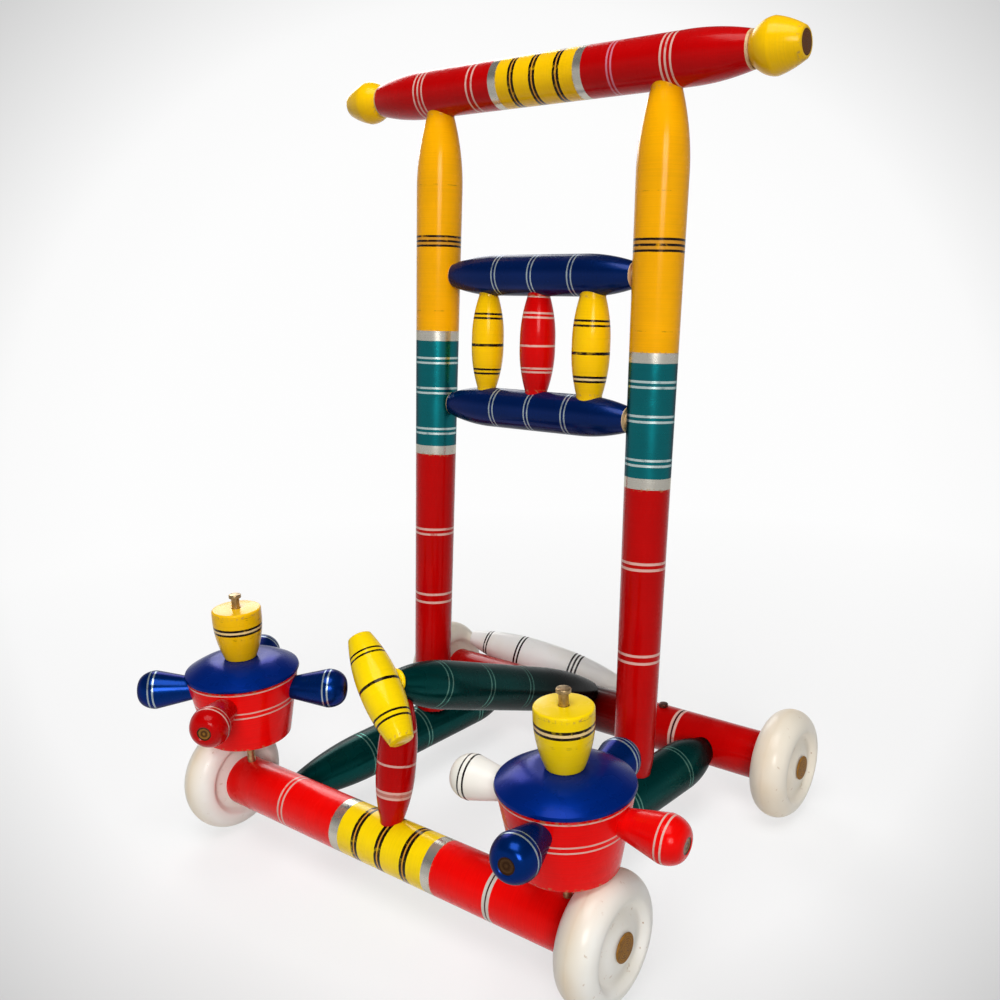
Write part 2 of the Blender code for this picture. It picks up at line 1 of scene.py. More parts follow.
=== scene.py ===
"""The push walker's looks: turned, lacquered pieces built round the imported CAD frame.

Sizes are in millimetres in the drawing's own frame: the origin is on the floor under the front
beam's middle, X runs along the beams, Y towards the handle and Z up. The studio is in metres.
"""
import json
import math

import bmesh
import bpy
from mathutils import Matrix, Vector, geometry

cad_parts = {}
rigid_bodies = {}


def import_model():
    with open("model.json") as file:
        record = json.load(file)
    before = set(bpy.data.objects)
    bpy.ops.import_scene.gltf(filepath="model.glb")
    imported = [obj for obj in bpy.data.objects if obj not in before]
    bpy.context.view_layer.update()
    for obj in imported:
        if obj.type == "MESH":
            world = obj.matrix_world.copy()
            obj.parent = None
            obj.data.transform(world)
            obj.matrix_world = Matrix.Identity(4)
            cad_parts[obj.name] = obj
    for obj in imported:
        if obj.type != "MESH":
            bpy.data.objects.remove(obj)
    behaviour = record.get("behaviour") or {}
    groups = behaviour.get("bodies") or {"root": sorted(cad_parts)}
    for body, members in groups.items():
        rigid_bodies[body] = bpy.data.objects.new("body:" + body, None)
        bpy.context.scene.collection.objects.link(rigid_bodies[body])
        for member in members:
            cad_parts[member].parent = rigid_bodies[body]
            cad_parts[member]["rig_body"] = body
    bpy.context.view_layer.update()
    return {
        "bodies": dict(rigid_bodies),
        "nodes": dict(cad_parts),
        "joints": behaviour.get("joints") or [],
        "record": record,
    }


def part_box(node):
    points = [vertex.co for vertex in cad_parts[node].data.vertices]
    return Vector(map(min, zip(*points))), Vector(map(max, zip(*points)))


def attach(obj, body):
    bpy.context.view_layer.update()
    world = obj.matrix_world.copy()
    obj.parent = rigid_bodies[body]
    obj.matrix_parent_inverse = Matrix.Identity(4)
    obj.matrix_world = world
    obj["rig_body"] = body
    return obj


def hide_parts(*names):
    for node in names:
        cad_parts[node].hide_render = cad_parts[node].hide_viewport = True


MM = 0.001
X_AXIS = Vector((1, 0, 0))
Z_AXIS = Vector((0, 0, 1))
QUARTER_TURN = math.pi / 2
SIDES = (("left", -1), ("right", 1))

# Facets round the pieces and along their curves, and the angle from which an edge is sharp
FINE_SIDES = 96
WIDE_SIDES = 128
DOWEL_SIDES = 64
NAIL_SIDES = 48
TAPER_STEPS = 14
ROUND_STEPS = 12
SHORT_STEPS = 8
EDGE_STEPS = 5
SHARP_ANGLE = math.radians(35)

# Where a double cone's belly starts, as a share of its half
BELLY = 0.1

# Gaps at glued joints and at turning ones
GLUE_GAP = 0.35
END_GAP = 0.5

# Wheels
WHEEL_RADIUS = 35.5
WHEEL_LOOK_RADIUS = 35.18
WHEEL_WIDTH = 24
WHEEL_SIDE_RADIUS = 24
WHEEL_HUB_RADIUS = 8
WHEEL_HUB_INSET = 1
WHEEL_VALLEY_RADIUS = 19.5
WHEEL_VALLEY_DEPTH = 2.6
WHEEL_RISE_POWER = 1.5
WHEEL_BORE = 5.9
WHEEL_WORN = (-8, 8)
WHEEL_AGED_REACH = {"front": 10, "rear": 24}
PIN_RADIUS = 5.5
PIN_PLUG = 8
PIN_EDGE = 0.5
PIN_HEAD_RADIUS = 7.7
PIN_HEAD_LIP = 0.2
PIN_HEAD_HEIGHT = 0.9

# Beams and rails
WHEELBASE = 216
AXLE_HALF_LENGTH = 133
AXLE_RADIUS = 15.8
AXLE_EDGE = 1.5
RAIL_ENDS = {"left": (-96.4, -79.6), "right": (76.3, 95)}
RAIL_RADIUS = 15.4
RAIL_END_RADIUS = 8.8
RAIL_FRONT_TAPER = 54
RAIL_REAR_TAPER = 30
RAIL_PLUG = 6

# Posts
POST_X = 83.5
POST_LEAN = math.radians(5.6)
POST_BASE_Y = 128.5
POST_FOOT_START = 13
POST_FOOT_RADIUS = 11
POST_FOOT_EDGE = 0.8
POST_FLARE = (15.9, 30)
POST_FLARE_STEPS = 6
POST_LOW_RADIUS = 12.4
POST_TOP_RADIUS = 15.1
POST_NECK_RADIUS = 9
POST_NECK_TAPER = 44
POST_TOP_PLUG = 6

# Handle bar and knobs
HANDLE_HEIGHT = 465
HANDLE_HALF_LENGTH = 135
HANDLE_RADIUS = 14.8
HANDLE_END_RADIUS = 10
HANDLE_TAPER = 38
KNOB_LENGTH = 28
KNOB_RADII = {"left": 13.7, "right": 14.75}
KNOB_NECK_RADIUS = 9
KNOB_BELLY = 12
KNOB_CURVE = 0.45
KNOB_EDGE = 0.6
KNOB_EDGE_RADIUS = 8.3
KNOB_END_ROUND = 0.2
KNOB_END_RADIUS = 7.8
KNOB_FACE_RADIUS = 7.3
KNOB_BORE = 6.6
KNOB_WORN = (1, 26.5)
KNOB_DOWEL_RADIUS = 6.4
KNOB_DOWEL_PLUG = 4
KNOB_DOWEL_SHOW = 0.1
KNOB_DOWEL_EDGE = 0.4

# Crossbars and spindles
CROSSBAR_HEIGHTS = {"upper": 349.8, "lower": 266}
CROSSBAR_LENGTH = 137.2
CROSSBAR_RADIUS = 12.7
CROSSBAR_END_RADIUS = 7.6
CROSSBAR_TAPER = 34
CROSSBAR_TENON_RADIUS = 4.8
CROSSBAR_TENON = 8
SPINDLE_SPACING = 40
SPINDLE_RADII = {"left": (10.4, 6.2), "middle": (11.2, 7.1), "right": (11.7, 8)}
SPINDLE_PLUG = 4

# The centre bar's slope, the centre post that is its stand, and the propeller
SLOPE_RISE = 13
SLOPE_SHOULDER = 10
SLOPE_TENON = 4
SLOPE_TENON_RADIUS = 3.3
SLOPE_NOSE_Y = 12.6
SLOPE_NOSE_HEIGHT = 132
SLOPE_RADIUS = 14.6
SLOPE_REAR_RADIUS = 7.5
SLOPE_NOSE_RADIUS = 7.4
SLOPE_REAR_TAPER = 64
SLOPE_NOSE_TAPER = 42
STAND_BASE_Y = -2
STAND_LEAN = math.radians(11.5)
STAND_START = 10
STAND_RADIUS = 11.4
STAND_END_RADIUS = 6.7
STAND_TAPER = 30
STAND_SHOULDER = 11.5
STAND_TENON = 3
STAND_TENON_RADIUS = 4.7
HUB_SOCKET = 6
HUB_SOCKET_RADIUS = 4.7
HUB_PEG_RADIUS = 4.2
HUB_PEG_TAIL = 5
HUB_PEG_PLUG = 7
HUB_BEAD_RADIUS = 8
HUB_BEAD_RIM_RADIUS = 4.96
HUB_BEAD_LENGTH = 3.5
BLADE_LENGTH = 66
BLADE_RADIUS = 12
BLADE_BELLY = 0.04
BLADE_END_RADIUS = 7
BLADE_FACE_RADIUS = 6.4
BLADE_EDGE = 0.4
BLADE_WORN = 1.5
BLADE_OFFSET = 4
BLADE_TURN = math.radians(44.5)

# Spinners
NAIL_X = 124
NAIL_BOTTOM = 50
NAIL_TOP = 165
NAIL_RADIUS = 2.5
NAIL_HEAD_RADIUS = 3.8
NAIL_HEAD_HEIGHT = 2.3
NAIL_LIP = 0.3
NAIL_EDGE = 0.7
NAIL_BORE = 2.9
DRUM_BOTTOM = 71.35
DRUM_HEIGHT = 42
DRUM_BOTTOM_RADIUS = 27
DRUM_TOP_RADIUS = 34.3
DRUM_EDGE = 1.2
DRUM_WORN = (1.2, 41)
LID_HEIGHT = 10
LID_RADIUS = 35.4
LID_EDGE = 1.1
LID_RIM_HEIGHT = 2.4
LID_LIP = 0.4
LID_STEPS = 16
CAP_HEIGHT = 32
CAP_BOTTOM_RADIUS = 9.9
CAP_RADIUS = 15.2
CAP_BELLY = 0.8
CAP_EDGE = 1.3
CAP_WORN = (30,)
PEG_DROP = 10
PEG_ROOT = 22
PEG_ROOT_RADIUS = 6
PEG_FLARE_RADIUS = 12.1
PEG_ROUND = 11
PEG_TIP_RADIUS = 4.6
PEG_DOWEL_RADIUS = 4.2
PEG_DOWEL_RIM = 0.3
PEG_DOWEL_INSET = 0.5
PEG_DOWEL_DEPTH = 2
PEG_REACH = {"left": 66.2, "right": 65.4}
PEG_TURNS = {"left": (-141, -58.7, 30.7, 128.7), "right": (-173.7, -79.1, 3.3, 94.1)}
PEG_TILTS = {"left": (0, 0, 0, 0), "right": (0, 6, -3, -4)}
PEG_KINDS = {"left": ("blue", "shaded_red", "blue", "blue"), "right": ("white", "blue", "red", "blue")}

# White bar behind the rear beam, its dowel and the nail on the beam
REAR_BAR_LEFT = (-131.6, 234.8, 55.9)
REAR_BAR_RIGHT = (-1, 262, 31.5)
REAR_BAR_RADIUS = 15
REAR_BAR_END_RADIUS = 5.6
REAR_BAR_STEPS = 20
REAR_BAR_TENON_RADIUS = 4.4
REAR_BAR_TENON = 5.9
REAR_DOWEL_AT = 0.36
REAR_DOWEL_RADIUS = 3.5
REAR_DOWEL_EDGE = 0.3
REAR_DOWEL_START = 12
REAR_DOWEL_STOP = 10
AXLE_NAIL_X = 56
AXLE_NAIL_START = 8
AXLE_NAIL_RADIUS = 1.5
AXLE_NAIL_HEAD_RADIUS = 3.2
AXLE_NAIL_HEAD_HEIGHT = 2.4

# Painted bands, by the places of their edges along a piece's own axis
FRONT_BEAM_BANDS = (-36.5, -29.5, 36, 42.5)
POST_BANDS = {"left": (197, 203, 273, 279.5), "right": (193, 199.5, 266, 272)}
HANDLE_BANDS = (-33.3, -27.5, 29, 34.5)
HANDLE_BARE_END = 1.2
CROSSBAR_BARE_END = 0.4

# Painted lines in groups: the places along a piece's own axis and, last, the lines' width
FRONT_BEAM_PALE = (-82.3, -78.8, 1.4)
FRONT_BEAM_SILVER = (80.4, 83.2, 1.9)
REAR_BEAM_LINES = ((-72, -68.7, 1.9), (68.7, 72, 1.9))
POST_PALE = {
    "left": ((93.5, 99.2, 1.6), (141.8, 145.2, 1.5)),
    "right": ((87.5, 92, 1.6), (145, 148.6, 1.6)),
}
POST_BLACK = {"left": (334.5, 337.5, 340.5, 1.4), "right": (328.6, 331.8, 335, 1.4)}
HANDLE_PALE = ((-50.5, -46.3, 1.4),)
HANDLE_MAUVE = (52.3, 54.9, 1.2)
HANDLE_RINGS = (-94.5, -91, -87.7, 86.5, 89.6, 92.8, 1.3)
SPINDLE_LINES = {
    "left": ((-20.3, -17.6, 1.3), (-2, 1.8), (15, 17.7, 1.3)),
    "middle": ((-17.3, -15, 1.2), (-1, 1.3), (16.3, 19, 1.2), (28.8, 0.8)),
    "right": ((-4, 1.8), (12.3, 15.2, 1.3)),
}
RIGHT_SPINDLE_CREAM = (-21, -18.3, 1.4)
STAND_LOW = (31.5, 34.9, 1.5)
STAND_RINGS = (51, 70, 1.3)
BLADE_LINES = ((-21.5, -18.3, 1.2), (0, 1.8), (18, 20.8, 1.2))
DRUM_LINES = ((23.9, 27.1, 1), (40.4, 0.9))
CAP_LINES = {"left": (18.7, 21.6, 1.5), "right": (21.2, 24.2, 1.5)}
REAR_BAR_LINES = ((-53.5, -51.1, 1.3), (-24.3, -21.5, 1.4), (21, 24, 27, 1.4))
PEG_LINE_INSETS = (11.6, 8.6)
PEG_LINE_WIDTH = 1

# Double lines: the places of their middles, then half their distance and their width
FRONT_BEAM_DOUBLES = ((-15.8, 3, 22.5), 1.5, 2)
RAIL_DOUBLES = {"left": ((-42, 8, 59.5), 1.5, 1), "right": ((-52, 4, 58.3), 1.5, 1)}
POST_DOUBLES = {"left": ((212.8, 240, 260), 1.6, 1.4), "right": ((208.5, 234, 253.8), 1.6, 1.4)}
HANDLE_DOUBLES = ((-16, 0, 17.2), 1.4, 1.8)
CROSSBAR_DOUBLES = {"upper": ((-27.2, 0.8, 30.2), 1.35, 1), "lower": ((-26.6, 1.2, 29), 1.35, 1)}
SLOPE_DOUBLES = ((104.5, 147, 188.4), 1.8, 1)

# Scratches round the posts and caps, by their places
POST_SCRATCHES = {"left": (292.5, 373), "right": (284, 361)}
CAP_SCRATCHES = {"left": (15.4, 16.2, 25.5, 28, 29.3), "right": (15.6, 16.4, 29.5)}
SCRATCH_WIDTH = 0.4

# Painted shade: places and shares of the light that darken the paint; for the rails the shares and
# how far in they begin
REAR_BEAM_SHADE = ((-66, 1), (-52, 0.03), (4, 0.03), (22, 0.4), (42, 1))
SLOPE_SHADE = ((0, 0.03), (60, 0.05), (98, 0.6), (130, 1))
RAIL_SHADE = (0.3, 1, 1, 0.12, 0.1)
RAIL_SHADE_FADES = (14, 26, 6)

# Shine of the paint
SPECULAR = 0.14
COAT = 0.2
LOW_COAT = 0.08
IVORY_COAT = 0.25
COAT_ROUGHNESS = 0.16
SILVER_SHEEN = 0.8
TEAL_SHEEN = 0.9
GREEN_SHEEN = 0.62
CROSSBAR_SHEEN = 0.5
LID_SHEEN = 0.38
PEG_SHEEN = 0.6
NAIL_SHEEN = 0.9

# Noise in the paint: scale, detail and roughness; stretches along X, Y and Z
WANDER = (45, 2)
PATCHES = (140, 4, 0.65)
CLOUDS = (30, 3)
FLECKS = (480, 3, 0.6)
SMUDGES = (75, 4)
TURNING = (1, 3)
TURNING_STRETCH = (14, 14, 1500)
END_GRAIN = (700, 3, 0.6)
DOWEL_GRAIN = (620, 5, 0.7)
DOWEL_STRETCH = (1, 1, 0.15)
DOWEL_RING_SCALE = 260
DOWEL_RING_WAVE = 3.0
TARNISH = (320, 4, 0.65)
DRAWN_MARKS = (1, 2)
DRAWN_STRETCH = (900, 900, 40)
IVORY_GROUND = (24, 4)
IVORY_FLECKS = (300, 5, 0.6)
IVORY_PATCHES = (38, 3)
IVORY_SMUDGES = (90, 4)

# What noise does to the paint: its lower and upper limit, then the values that it gives there
LINE_GAPS = (0.28, 0.42, 0.3, 1)
BRUSH_TONE = (0.3, 0.7, 0.79, 0.88)
SCRATCH_GAPS = (0.5, 0.6, 0, 0.55)
CHIPS = (0.52, 0.64, 0, 0.8)
SPECKS = (0.77, 0.81, 0, 0.6)
LACQUER_ROUGHNESS = (0.3, 0.7, 0.18, 0.34)
DOWEL_STREAKS = (0.25, 0.75, 0, 0.7)
DOWEL_ROUGHNESS = (0.3, 0.7, 0.42, 0.7)
NAIL_ROUGHNESS = (0.3, 0.7, 0.5, 0.24)
IVORY_AGE = (0.3, 0.7, 0.4, 1)
IVORY_LINE_GAPS = (0.28, 0.4, 0.4, 1)
IVORY_LOSS = (0.64, 0.7, 0, 0.8)
IVORY_BARE = (0.55, 0.7)
IVORY_CHIPS = (0.62, 0.7, 0, 0.6)
IVORY_ROUGHNESS = (0.3, 0.7, 0.28, 0.46)

# Shares of noise in a mixture, places of colours on a ramp, and lengths of wear
CLOUD_SHARE = 0.34
DENT_SHARE = 0.5
IVORY_DENT_SHARE = 0.6
END_GRAIN_SHARE = 0.3
DOWEL_RING_SHARE = 0.3
END_RING_STOPS = (0.2, 0.5, 0.85, 1.0)
END_LIMIT = 0.999
DOWEL_STOPS = (0.1, 0.5, 0.95)
TARNISH_STOPS = (0.32, 0.52, 0.72)
IVORY_STOPS = (0.25, 0.55)
LINE_WANDER = 0.4
CHIP_WIDTH = 1.4
IVORY_CHIP_WIDTH = 2.6

# Lighter and darker tones of a colour
DOWEL_LIGHT = 1.4
TARNISH_DARK = 0.35
TARNISH_LIGHT = 1.6
DULL_IVORY = (0.95, 0.92, 0.86, 1)

# Relief: strength and depth
LACQUER_RELIEF = (0.1, 0.25)
DOWEL_RELIEF = (0.5, 0.5)
NAIL_RELIEF = (0.15, 0.1)
IVORY_RELIEF = (0.12, 0.3)

# Camera that matches the photograph
CAMERA_AT = (394.78, -381.62, 378.68)
CAMERA_YAW = math.radians(-38.66)
CAMERA_PITCH = math.radians(14.39)
CAMERA_ROLL = math.radians(-2.11)
CAMERA_LENS = 38.046
SENSOR_WIDTH = 36

# Studio, in metres: lamps as name, place, size and watts
LAMPS = (
    ("top", (0.36, -0.86, 2.6), 1.6, 44.5),
    ("left", (-1.72, 1.28, 1.25), 1.2, 19),
    ("front", (1.88, -2.1, 1.32), 0.98, 45.5),
)
LAMP_AIM = (0, 0, 0.2)
FLOOR_RADIUS = 40
FLOOR_DROP = 0.0002
FLOOR_FADE = (0.3, 0.8)
FLOOR_GLOW = 0.68
FLOOR_WHITE = 0.96
FLOOR_BOUNCE = 0.65

# Backdrop, and a painted pool of light on the floor: greys by the cosine of the angle from the
# camera's direction, and by the height
POOL_STOPS = ((0.831, 0.64), (0.904, 0.96), (0.94, 0.985))
POOL_EDGE = 0.7
ROOM_GREY = 0.06
FLOOR_GREY = 0.58
HORIZON_GREY = 0.6
HORIZON_RISE = (0.12, 0.55)


def srgb(red, green, blue):
    """A colour of 0 to 255 as linear light."""
    linear = []
    for value in (red / 255, green / 255, blue / 255):
        linear.append(value / 12.92 if value <= 0.04045 else ((value + 0.055) / 1.055) ** 2.4)
    return (*linear, 1)


# Paints
RED = srgb(238, 8, 6)
HANDLE_RED = srgb(190, 3, 5)
# POST_RED is a darker copy of the red, painted shade on the upright posts; the rear beam and centre
# post use it too
POST_RED = srgb(188, 3, 3)
SPINDLE_RED = srgb(212, 5, 5)
YELLOW = srgb(253, 216, 8)
CAP_YELLOW = srgb(252, 195, 8)
GOLD = srgb(252, 198, 6)
AMBER = srgb(248, 173, 4)
BLUE = srgb(2, 34, 94)
LID_BLUE = srgb(0, 40, 128)
PEG_BLUE = srgb(0, 42, 112)
GREEN = srgb(0, 66, 64)
TEAL = srgb(4, 110, 117)
SILVER = srgb(203, 199, 188)
IVORY = srgb(247, 245, 238)
AGED_IVORY = srgb(232, 212, 180)
WHITE = srgb(254, 253, 250)

# Lines
BLACK = srgb(22, 12, 8)
CREAM = srgb(246, 214, 150)
ORANGE = srgb(216, 150, 44)
PALE = srgb(226, 178, 166)
ROSE = srgb(196, 120, 108)
MAUVE = srgb(212, 124, 142)
DARK_RED = srgb(62, 8, 12)
PALE_GREEN = srgb(96, 146, 134)
PALE_SILVER = srgb(168, 182, 188)
TEAL_LINE = srgb(210, 228, 226)

# Wood and nails
BARE_WOOD = srgb(214, 182, 138)
TAN = srgb(176, 132, 84)
DOWEL_BROWN = srgb(150, 104, 40)
KNOB_DOWEL_BROWN = srgb(100, 60, 28)
# A darker end grain for the blue pegs' tips
DARK_TIP_BROWN = srgb(84, 58, 34)
DARK_BROWN = srgb(58, 34, 16)
NAIL_TINT = srgb(176, 150, 108)
# A darker tint for the nail on the rear beam
DARK_NAIL_TINT = srgb(92, 52, 44)

# Paints by piece: spindles and their lines, caps, and pegs with lines, sheen, coat and end grain
SPINDLE_PAINTS = {"left": (GOLD, BLACK), "middle": (SPINDLE_RED, PALE), "right": (GOLD, BLACK)}
CAP_PAINTS = {"left": CAP_YELLOW, "right": YELLOW}
PEG_PAINTS = {
    "red": (RED, PALE, 0.0, COAT, DOWEL_BROWN),
    # One red peg kind takes the handle's darker red: painted shade on that peg
    "shaded_red": (HANDLE_RED, PALE, 0.0, COAT, DOWEL_BROWN),
    "blue": (PEG_BLUE, PALE_SILVER, PEG_SHEEN, LOW_COAT, DARK_TIP_BROWN),
}


def grey(value):
    return (value, value, value, 1)


def toned(colour, share):
    """A colour made lighter or darker."""
    return tuple(min(1, share * part) for part in colour[:3]) + (1,)


def shares(steps, first=0):
    """Even shares from 0 to 1, from the given one on."""
    return [k / steps for k in range(first, steps + 1)]


def part_way(low, high, share):
    return low + (high - low) * share


def ease(start, end, thin, thick, steps=TAPER_STEPS):
    """Points of a rounded taper that runs from the thin end up to the full radius."""
    points = []
    for t in shares(steps):
        points.append((part_way(start, end, t), thick - (thick - thin) * (1 - t) ** 2))
    return points


def down(start, end, thick, thin, steps=TAPER_STEPS):
    """The same taper from the full radius down to the thin end."""
    return list(reversed(ease(end, start, thin, thick, steps)))


def face(z, radius, edge, inward=1, hole=0.0):
    """An end face at z with a rounded edge; inward is 1 or -1, the way the piece goes on."""
    points = [(z, hole)]
    for t in shares(EDGE_STEPS):
        a = QUARTER_TURN * t
        points.append((z + inward * edge * (1 - math.cos(a)), radius - edge * (1 - math.sin(a))))
    return points


def back_face(z, radius, edge, hole=0.0):
    return list(reversed(face(z, radius, edge, -1, hole)))


def plain_bar(start, end, radius, edge):
    return face(start, radius, edge) + back_face(end, radius, edge)


def disc(z, radius):
    """A flat end without a rounded edge."""
    return [(z, 0), (z, radius)]


def back_disc(z, radius):
    return [(z, radius), (z, 0)]


def mirrored(low):
    """A whole profile from its lower half."""
    return low + [(-z, r) for z, r in reversed(low)]


def turn_to(axis):
    """The rotation that lays a piece's own Z along an axis."""
    return Z_AXIS.rotation_difference(Vector(axis).normalized())


def ring_of_verts(bm, z, radius, sides):
    """The vertices round the axis at a height, or the one on the axis."""
    if not radius:
        return [bm.verts.new((0, 0, z * MM))]
    ring = []
    for k in range(sides):
        a = 2 * math.pi * k / sides
        x, y = radius * MM * math.cos(a), radius * MM * math.sin(a)
        ring.append(bm.verts.new((x, y, z * MM)))
    return ring


def turned_mesh(name, profile, axis, sides):
    """A smooth turned solid from (z, radius) points; a profile off the axis closes into a bore."""
    bm = bmesh.new()
    rings = [ring_of_verts(bm, z, radius, sides) for z, radius in profile]
    pairs = list(zip(rings, rings[1:]))
    if len(rings[0]) > 1 and len(rings[-1]) > 1:
        pairs.append((rings[-1], rings[0]))
    for low, high in pairs:
        for k in range(sides):
            n = (k + 1) % sides
            if len(low) == 1:
                bm.faces.new((low[0], high[n], high[k]))
            elif len(high) == 1:
                bm.faces.new((low[k], low[n], high[0]))
            else:
                bm.faces.new((low[k], low[n], high[n], high[k]))
    mesh = bpy.data.meshes.new(name)
    bm.to_mesh(mesh)
    bm.free()
    mesh.transform(turn_to(axis).to_matrix().to_4x4())
    mesh.shade_smooth()
    mesh.set_sharp_from_angle(angle=SHARP_ANGLE)
    return mesh


def placed(name, data):
    """A new object in the scene."""
    obj = bpy.data.objects.new(name, data)
    bpy.context.scene.collection.objects.link(obj)
    return obj


class Nodes:
    """Short ways to add nodes to a tree."""

    def __init__(self, tree):
        self.tree = tree

    def add(self, kind, **settings):
        made = self.tree.nodes.new(kind)
        for key, value in settings.items():
            setattr(made, key, value)
        return made

    def plug(self, socket, value):
        """Link another node's output to an input, or set a plain value."""
        if isinstance(value, bpy.types.NodeSocket):
            self.tree.links.new(value, socket)
        else:
            socket.default_value = value

    def feed(self, made, **values):
        """Plug inputs by name; an underscore stands for a space."""
        for key, value in values.items():
            self.plug(made.inputs[key.replace("_", " ")], value)
        return made

    def span(self, value, low, high, to_low=0.0, to_high=1.0):
        made = self.add("ShaderNodeMapRange")
        self.feed(made, Value=value, From_Min=low, From_Max=high, To_Min=to_low, To_Max=to_high)
        return made.outputs["Result"]

    def worked_out(self, kind, operation, values):
        made = self.add(kind, operation=operation)
        for socket, value in zip(made.inputs, values):
            self.plug(socket, value)
        return made.outputs

    def maths(self, operation, *values):
        return self.worked_out("ShaderNodeMath", operation, values)[0]

    def vector_maths(self, operation, *values):
        return self.worked_out("ShaderNodeVectorMath", operation, values)

    def parts(self, vector):
        return self.feed(self.add("ShaderNodeSeparateXYZ"), Vector=vector).outputs

    def mix(self, factor, first, second, blend="MIX"):
        made = self.add("ShaderNodeMix", data_type="RGBA", blend_type=blend)
        for key, value in (("Factor_Float", factor), ("A_Color", first), ("B_Color", second)):
            self.plug(next(s for s in made.inputs if s.identifier == key), value)
        return next(s for s in made.outputs if s.identifier == "Result_Color")

    def ramp(self, factor, places, colours):
        """A smooth colour ramp."""
        made = self.add("ShaderNodeValToRGB")
        elements = made.color_ramp.elements
        elements[0].position = places[0]
        elements[0].color = colours[0]
        elements.remove(elements[1])
        for place, colour in zip(places[1:], colours[1:]):
            elements.new(place).color = colour
        self.feed(made, Fac=factor)
        return made.outputs["Color"]

    def seen(self):
        """1 for rays that show the backdrop: direct, reflected or through glass."""
        rays = self.add("ShaderNodeLightPath").outputs
        direct = self.maths("MAXIMUM", rays["Is Camera Ray"], rays["Is Glossy Ray"])
        return self.maths("MAXIMUM", direct, rays["Is Transmission Ray"])


class Paint(Nodes):
    """A material with its Principled shader, in the turned piece's own coordinates."""

    def __init__(self, name, axis=Z_AXIS, coat=0.0):
        self.material = bpy.data.materials.new(name)
        self.material.use_nodes = True
        super().__init__(self.material.node_tree)
        self.shader = self.tree.nodes["Principled BSDF"]
        self.look(Specular_IOR_Level=SPECULAR, Coat_Weight=coat, Coat_Roughness=COAT_ROUGHNESS)
        flat = self.add("ShaderNodeTexCoord").outputs["Object"]
        upright = self.add("ShaderNodeMapping")
        self.feed(upright, Vector=flat, Rotation=turn_to(axis).inverted().to_euler())
        self.local = upright.outputs["Vector"]

    def look(self, **values):
        """Plug inputs of the shader."""
        self.feed(self.shader, **values)

    def noise(self, scale, detail, roughness=0.5, stretch=None):
        """Noise over the piece's own coordinates, which may be stretched."""
        vector = self.local
        if stretch:
            mapping = self.feed(self.add("ShaderNodeMapping"), Vector=vector, Scale=stretch)
            vector = mapping.outputs["Vector"]
        made = self.add("ShaderNodeTexNoise")
        self.feed(made, Vector=vector, Scale=scale, Detail=detail, Roughness=roughness)
        return made.outputs["Fac"]

    def height(self):
        """Height along the piece's own Z, with a little of the wander of a line cut by hand."""
        reach = LINE_WANDER * MM
        wander = self.span(self.noise(*WANDER), 0, 1, -reach, reach)
        return self.maths("ADD", self.parts(self.local)["Z"], wander)

    def zoned(self, height, zones):
        """The colour of the last zone, given as (start, colour), that starts below the height."""
        colour = zones[0][1]
        for start, other in zones[1:]:
            colour = self.mix(self.maths("GREATER_THAN", height, start * MM), colour, other)
        return colour

    def lined(self, height, colour, lines, noise, gaps):
        """Lines given as (start, end, colour) over a colour, with gaps made by noise."""
        drawn = colour
        for start, end, other in lines:
            half = (end - start) / 2 * MM
            on = self.maths("COMPARE", height, (start + end) / 2 * MM, half)
            drawn = self.mix(on, drawn, other)
        return self.mix(self.span(noise, *gaps), colour, drawn)

    def near(self, height, places, width, noise, limits):
        """What noise gives at places along the piece, falling to 0 a width away from them."""
        closest = None
        for place in places:
            gap = self.maths("ABSOLUTE", self.maths("SUBTRACT", height, place * MM))
            closest = gap if closest is None else self.maths("MINIMUM", closest, gap)
        close = self.span(closest, 0, width * MM, 1, 0)
        return self.maths("MULTIPLY", close, self.span(noise, *limits))

    def turning(self):
        """Fine marks round the piece from the lathe."""
        return self.noise(*TURNING, stretch=TURNING_STRETCH)

    def relief(self, height, strength, depth):
        made = self.add("ShaderNodeBump")
        self.feed(made, Height=height, Strength=strength, Distance=depth * MM)
        self.look(Normal=made.outputs["Normal"])


def marks(groups, colour, between=None):
    """Lines from groups of places and a width, with another colour between them if one is given."""
    lines = []
    for *places, width in groups:
        for k, place in enumerate(places):
            if k and between:
                lines.append((places[k - 1] + width / 2, place - width / 2, between))
            lines.append((place - width / 2, place + width / 2, colour))
    return lines


def doubles(middles, apart, width):
    """Groups of two lines on either side of each middle."""
    return [(middle - apart, middle + apart, width) for middle in middles]


def banded(start, edges, low, middle, high, sheen=0):
    """Zones of colour and of sheen for two silver bands with paint below, between and above."""
    starts = (start, *edges)
    colours = (low, SILVER, middle, SILVER, high)
    sheens = (0, SILVER_SHEEN, sheen, SILVER_SHEEN, 0)
    return list(zip(starts, colours)), list(zip(starts, sheens))


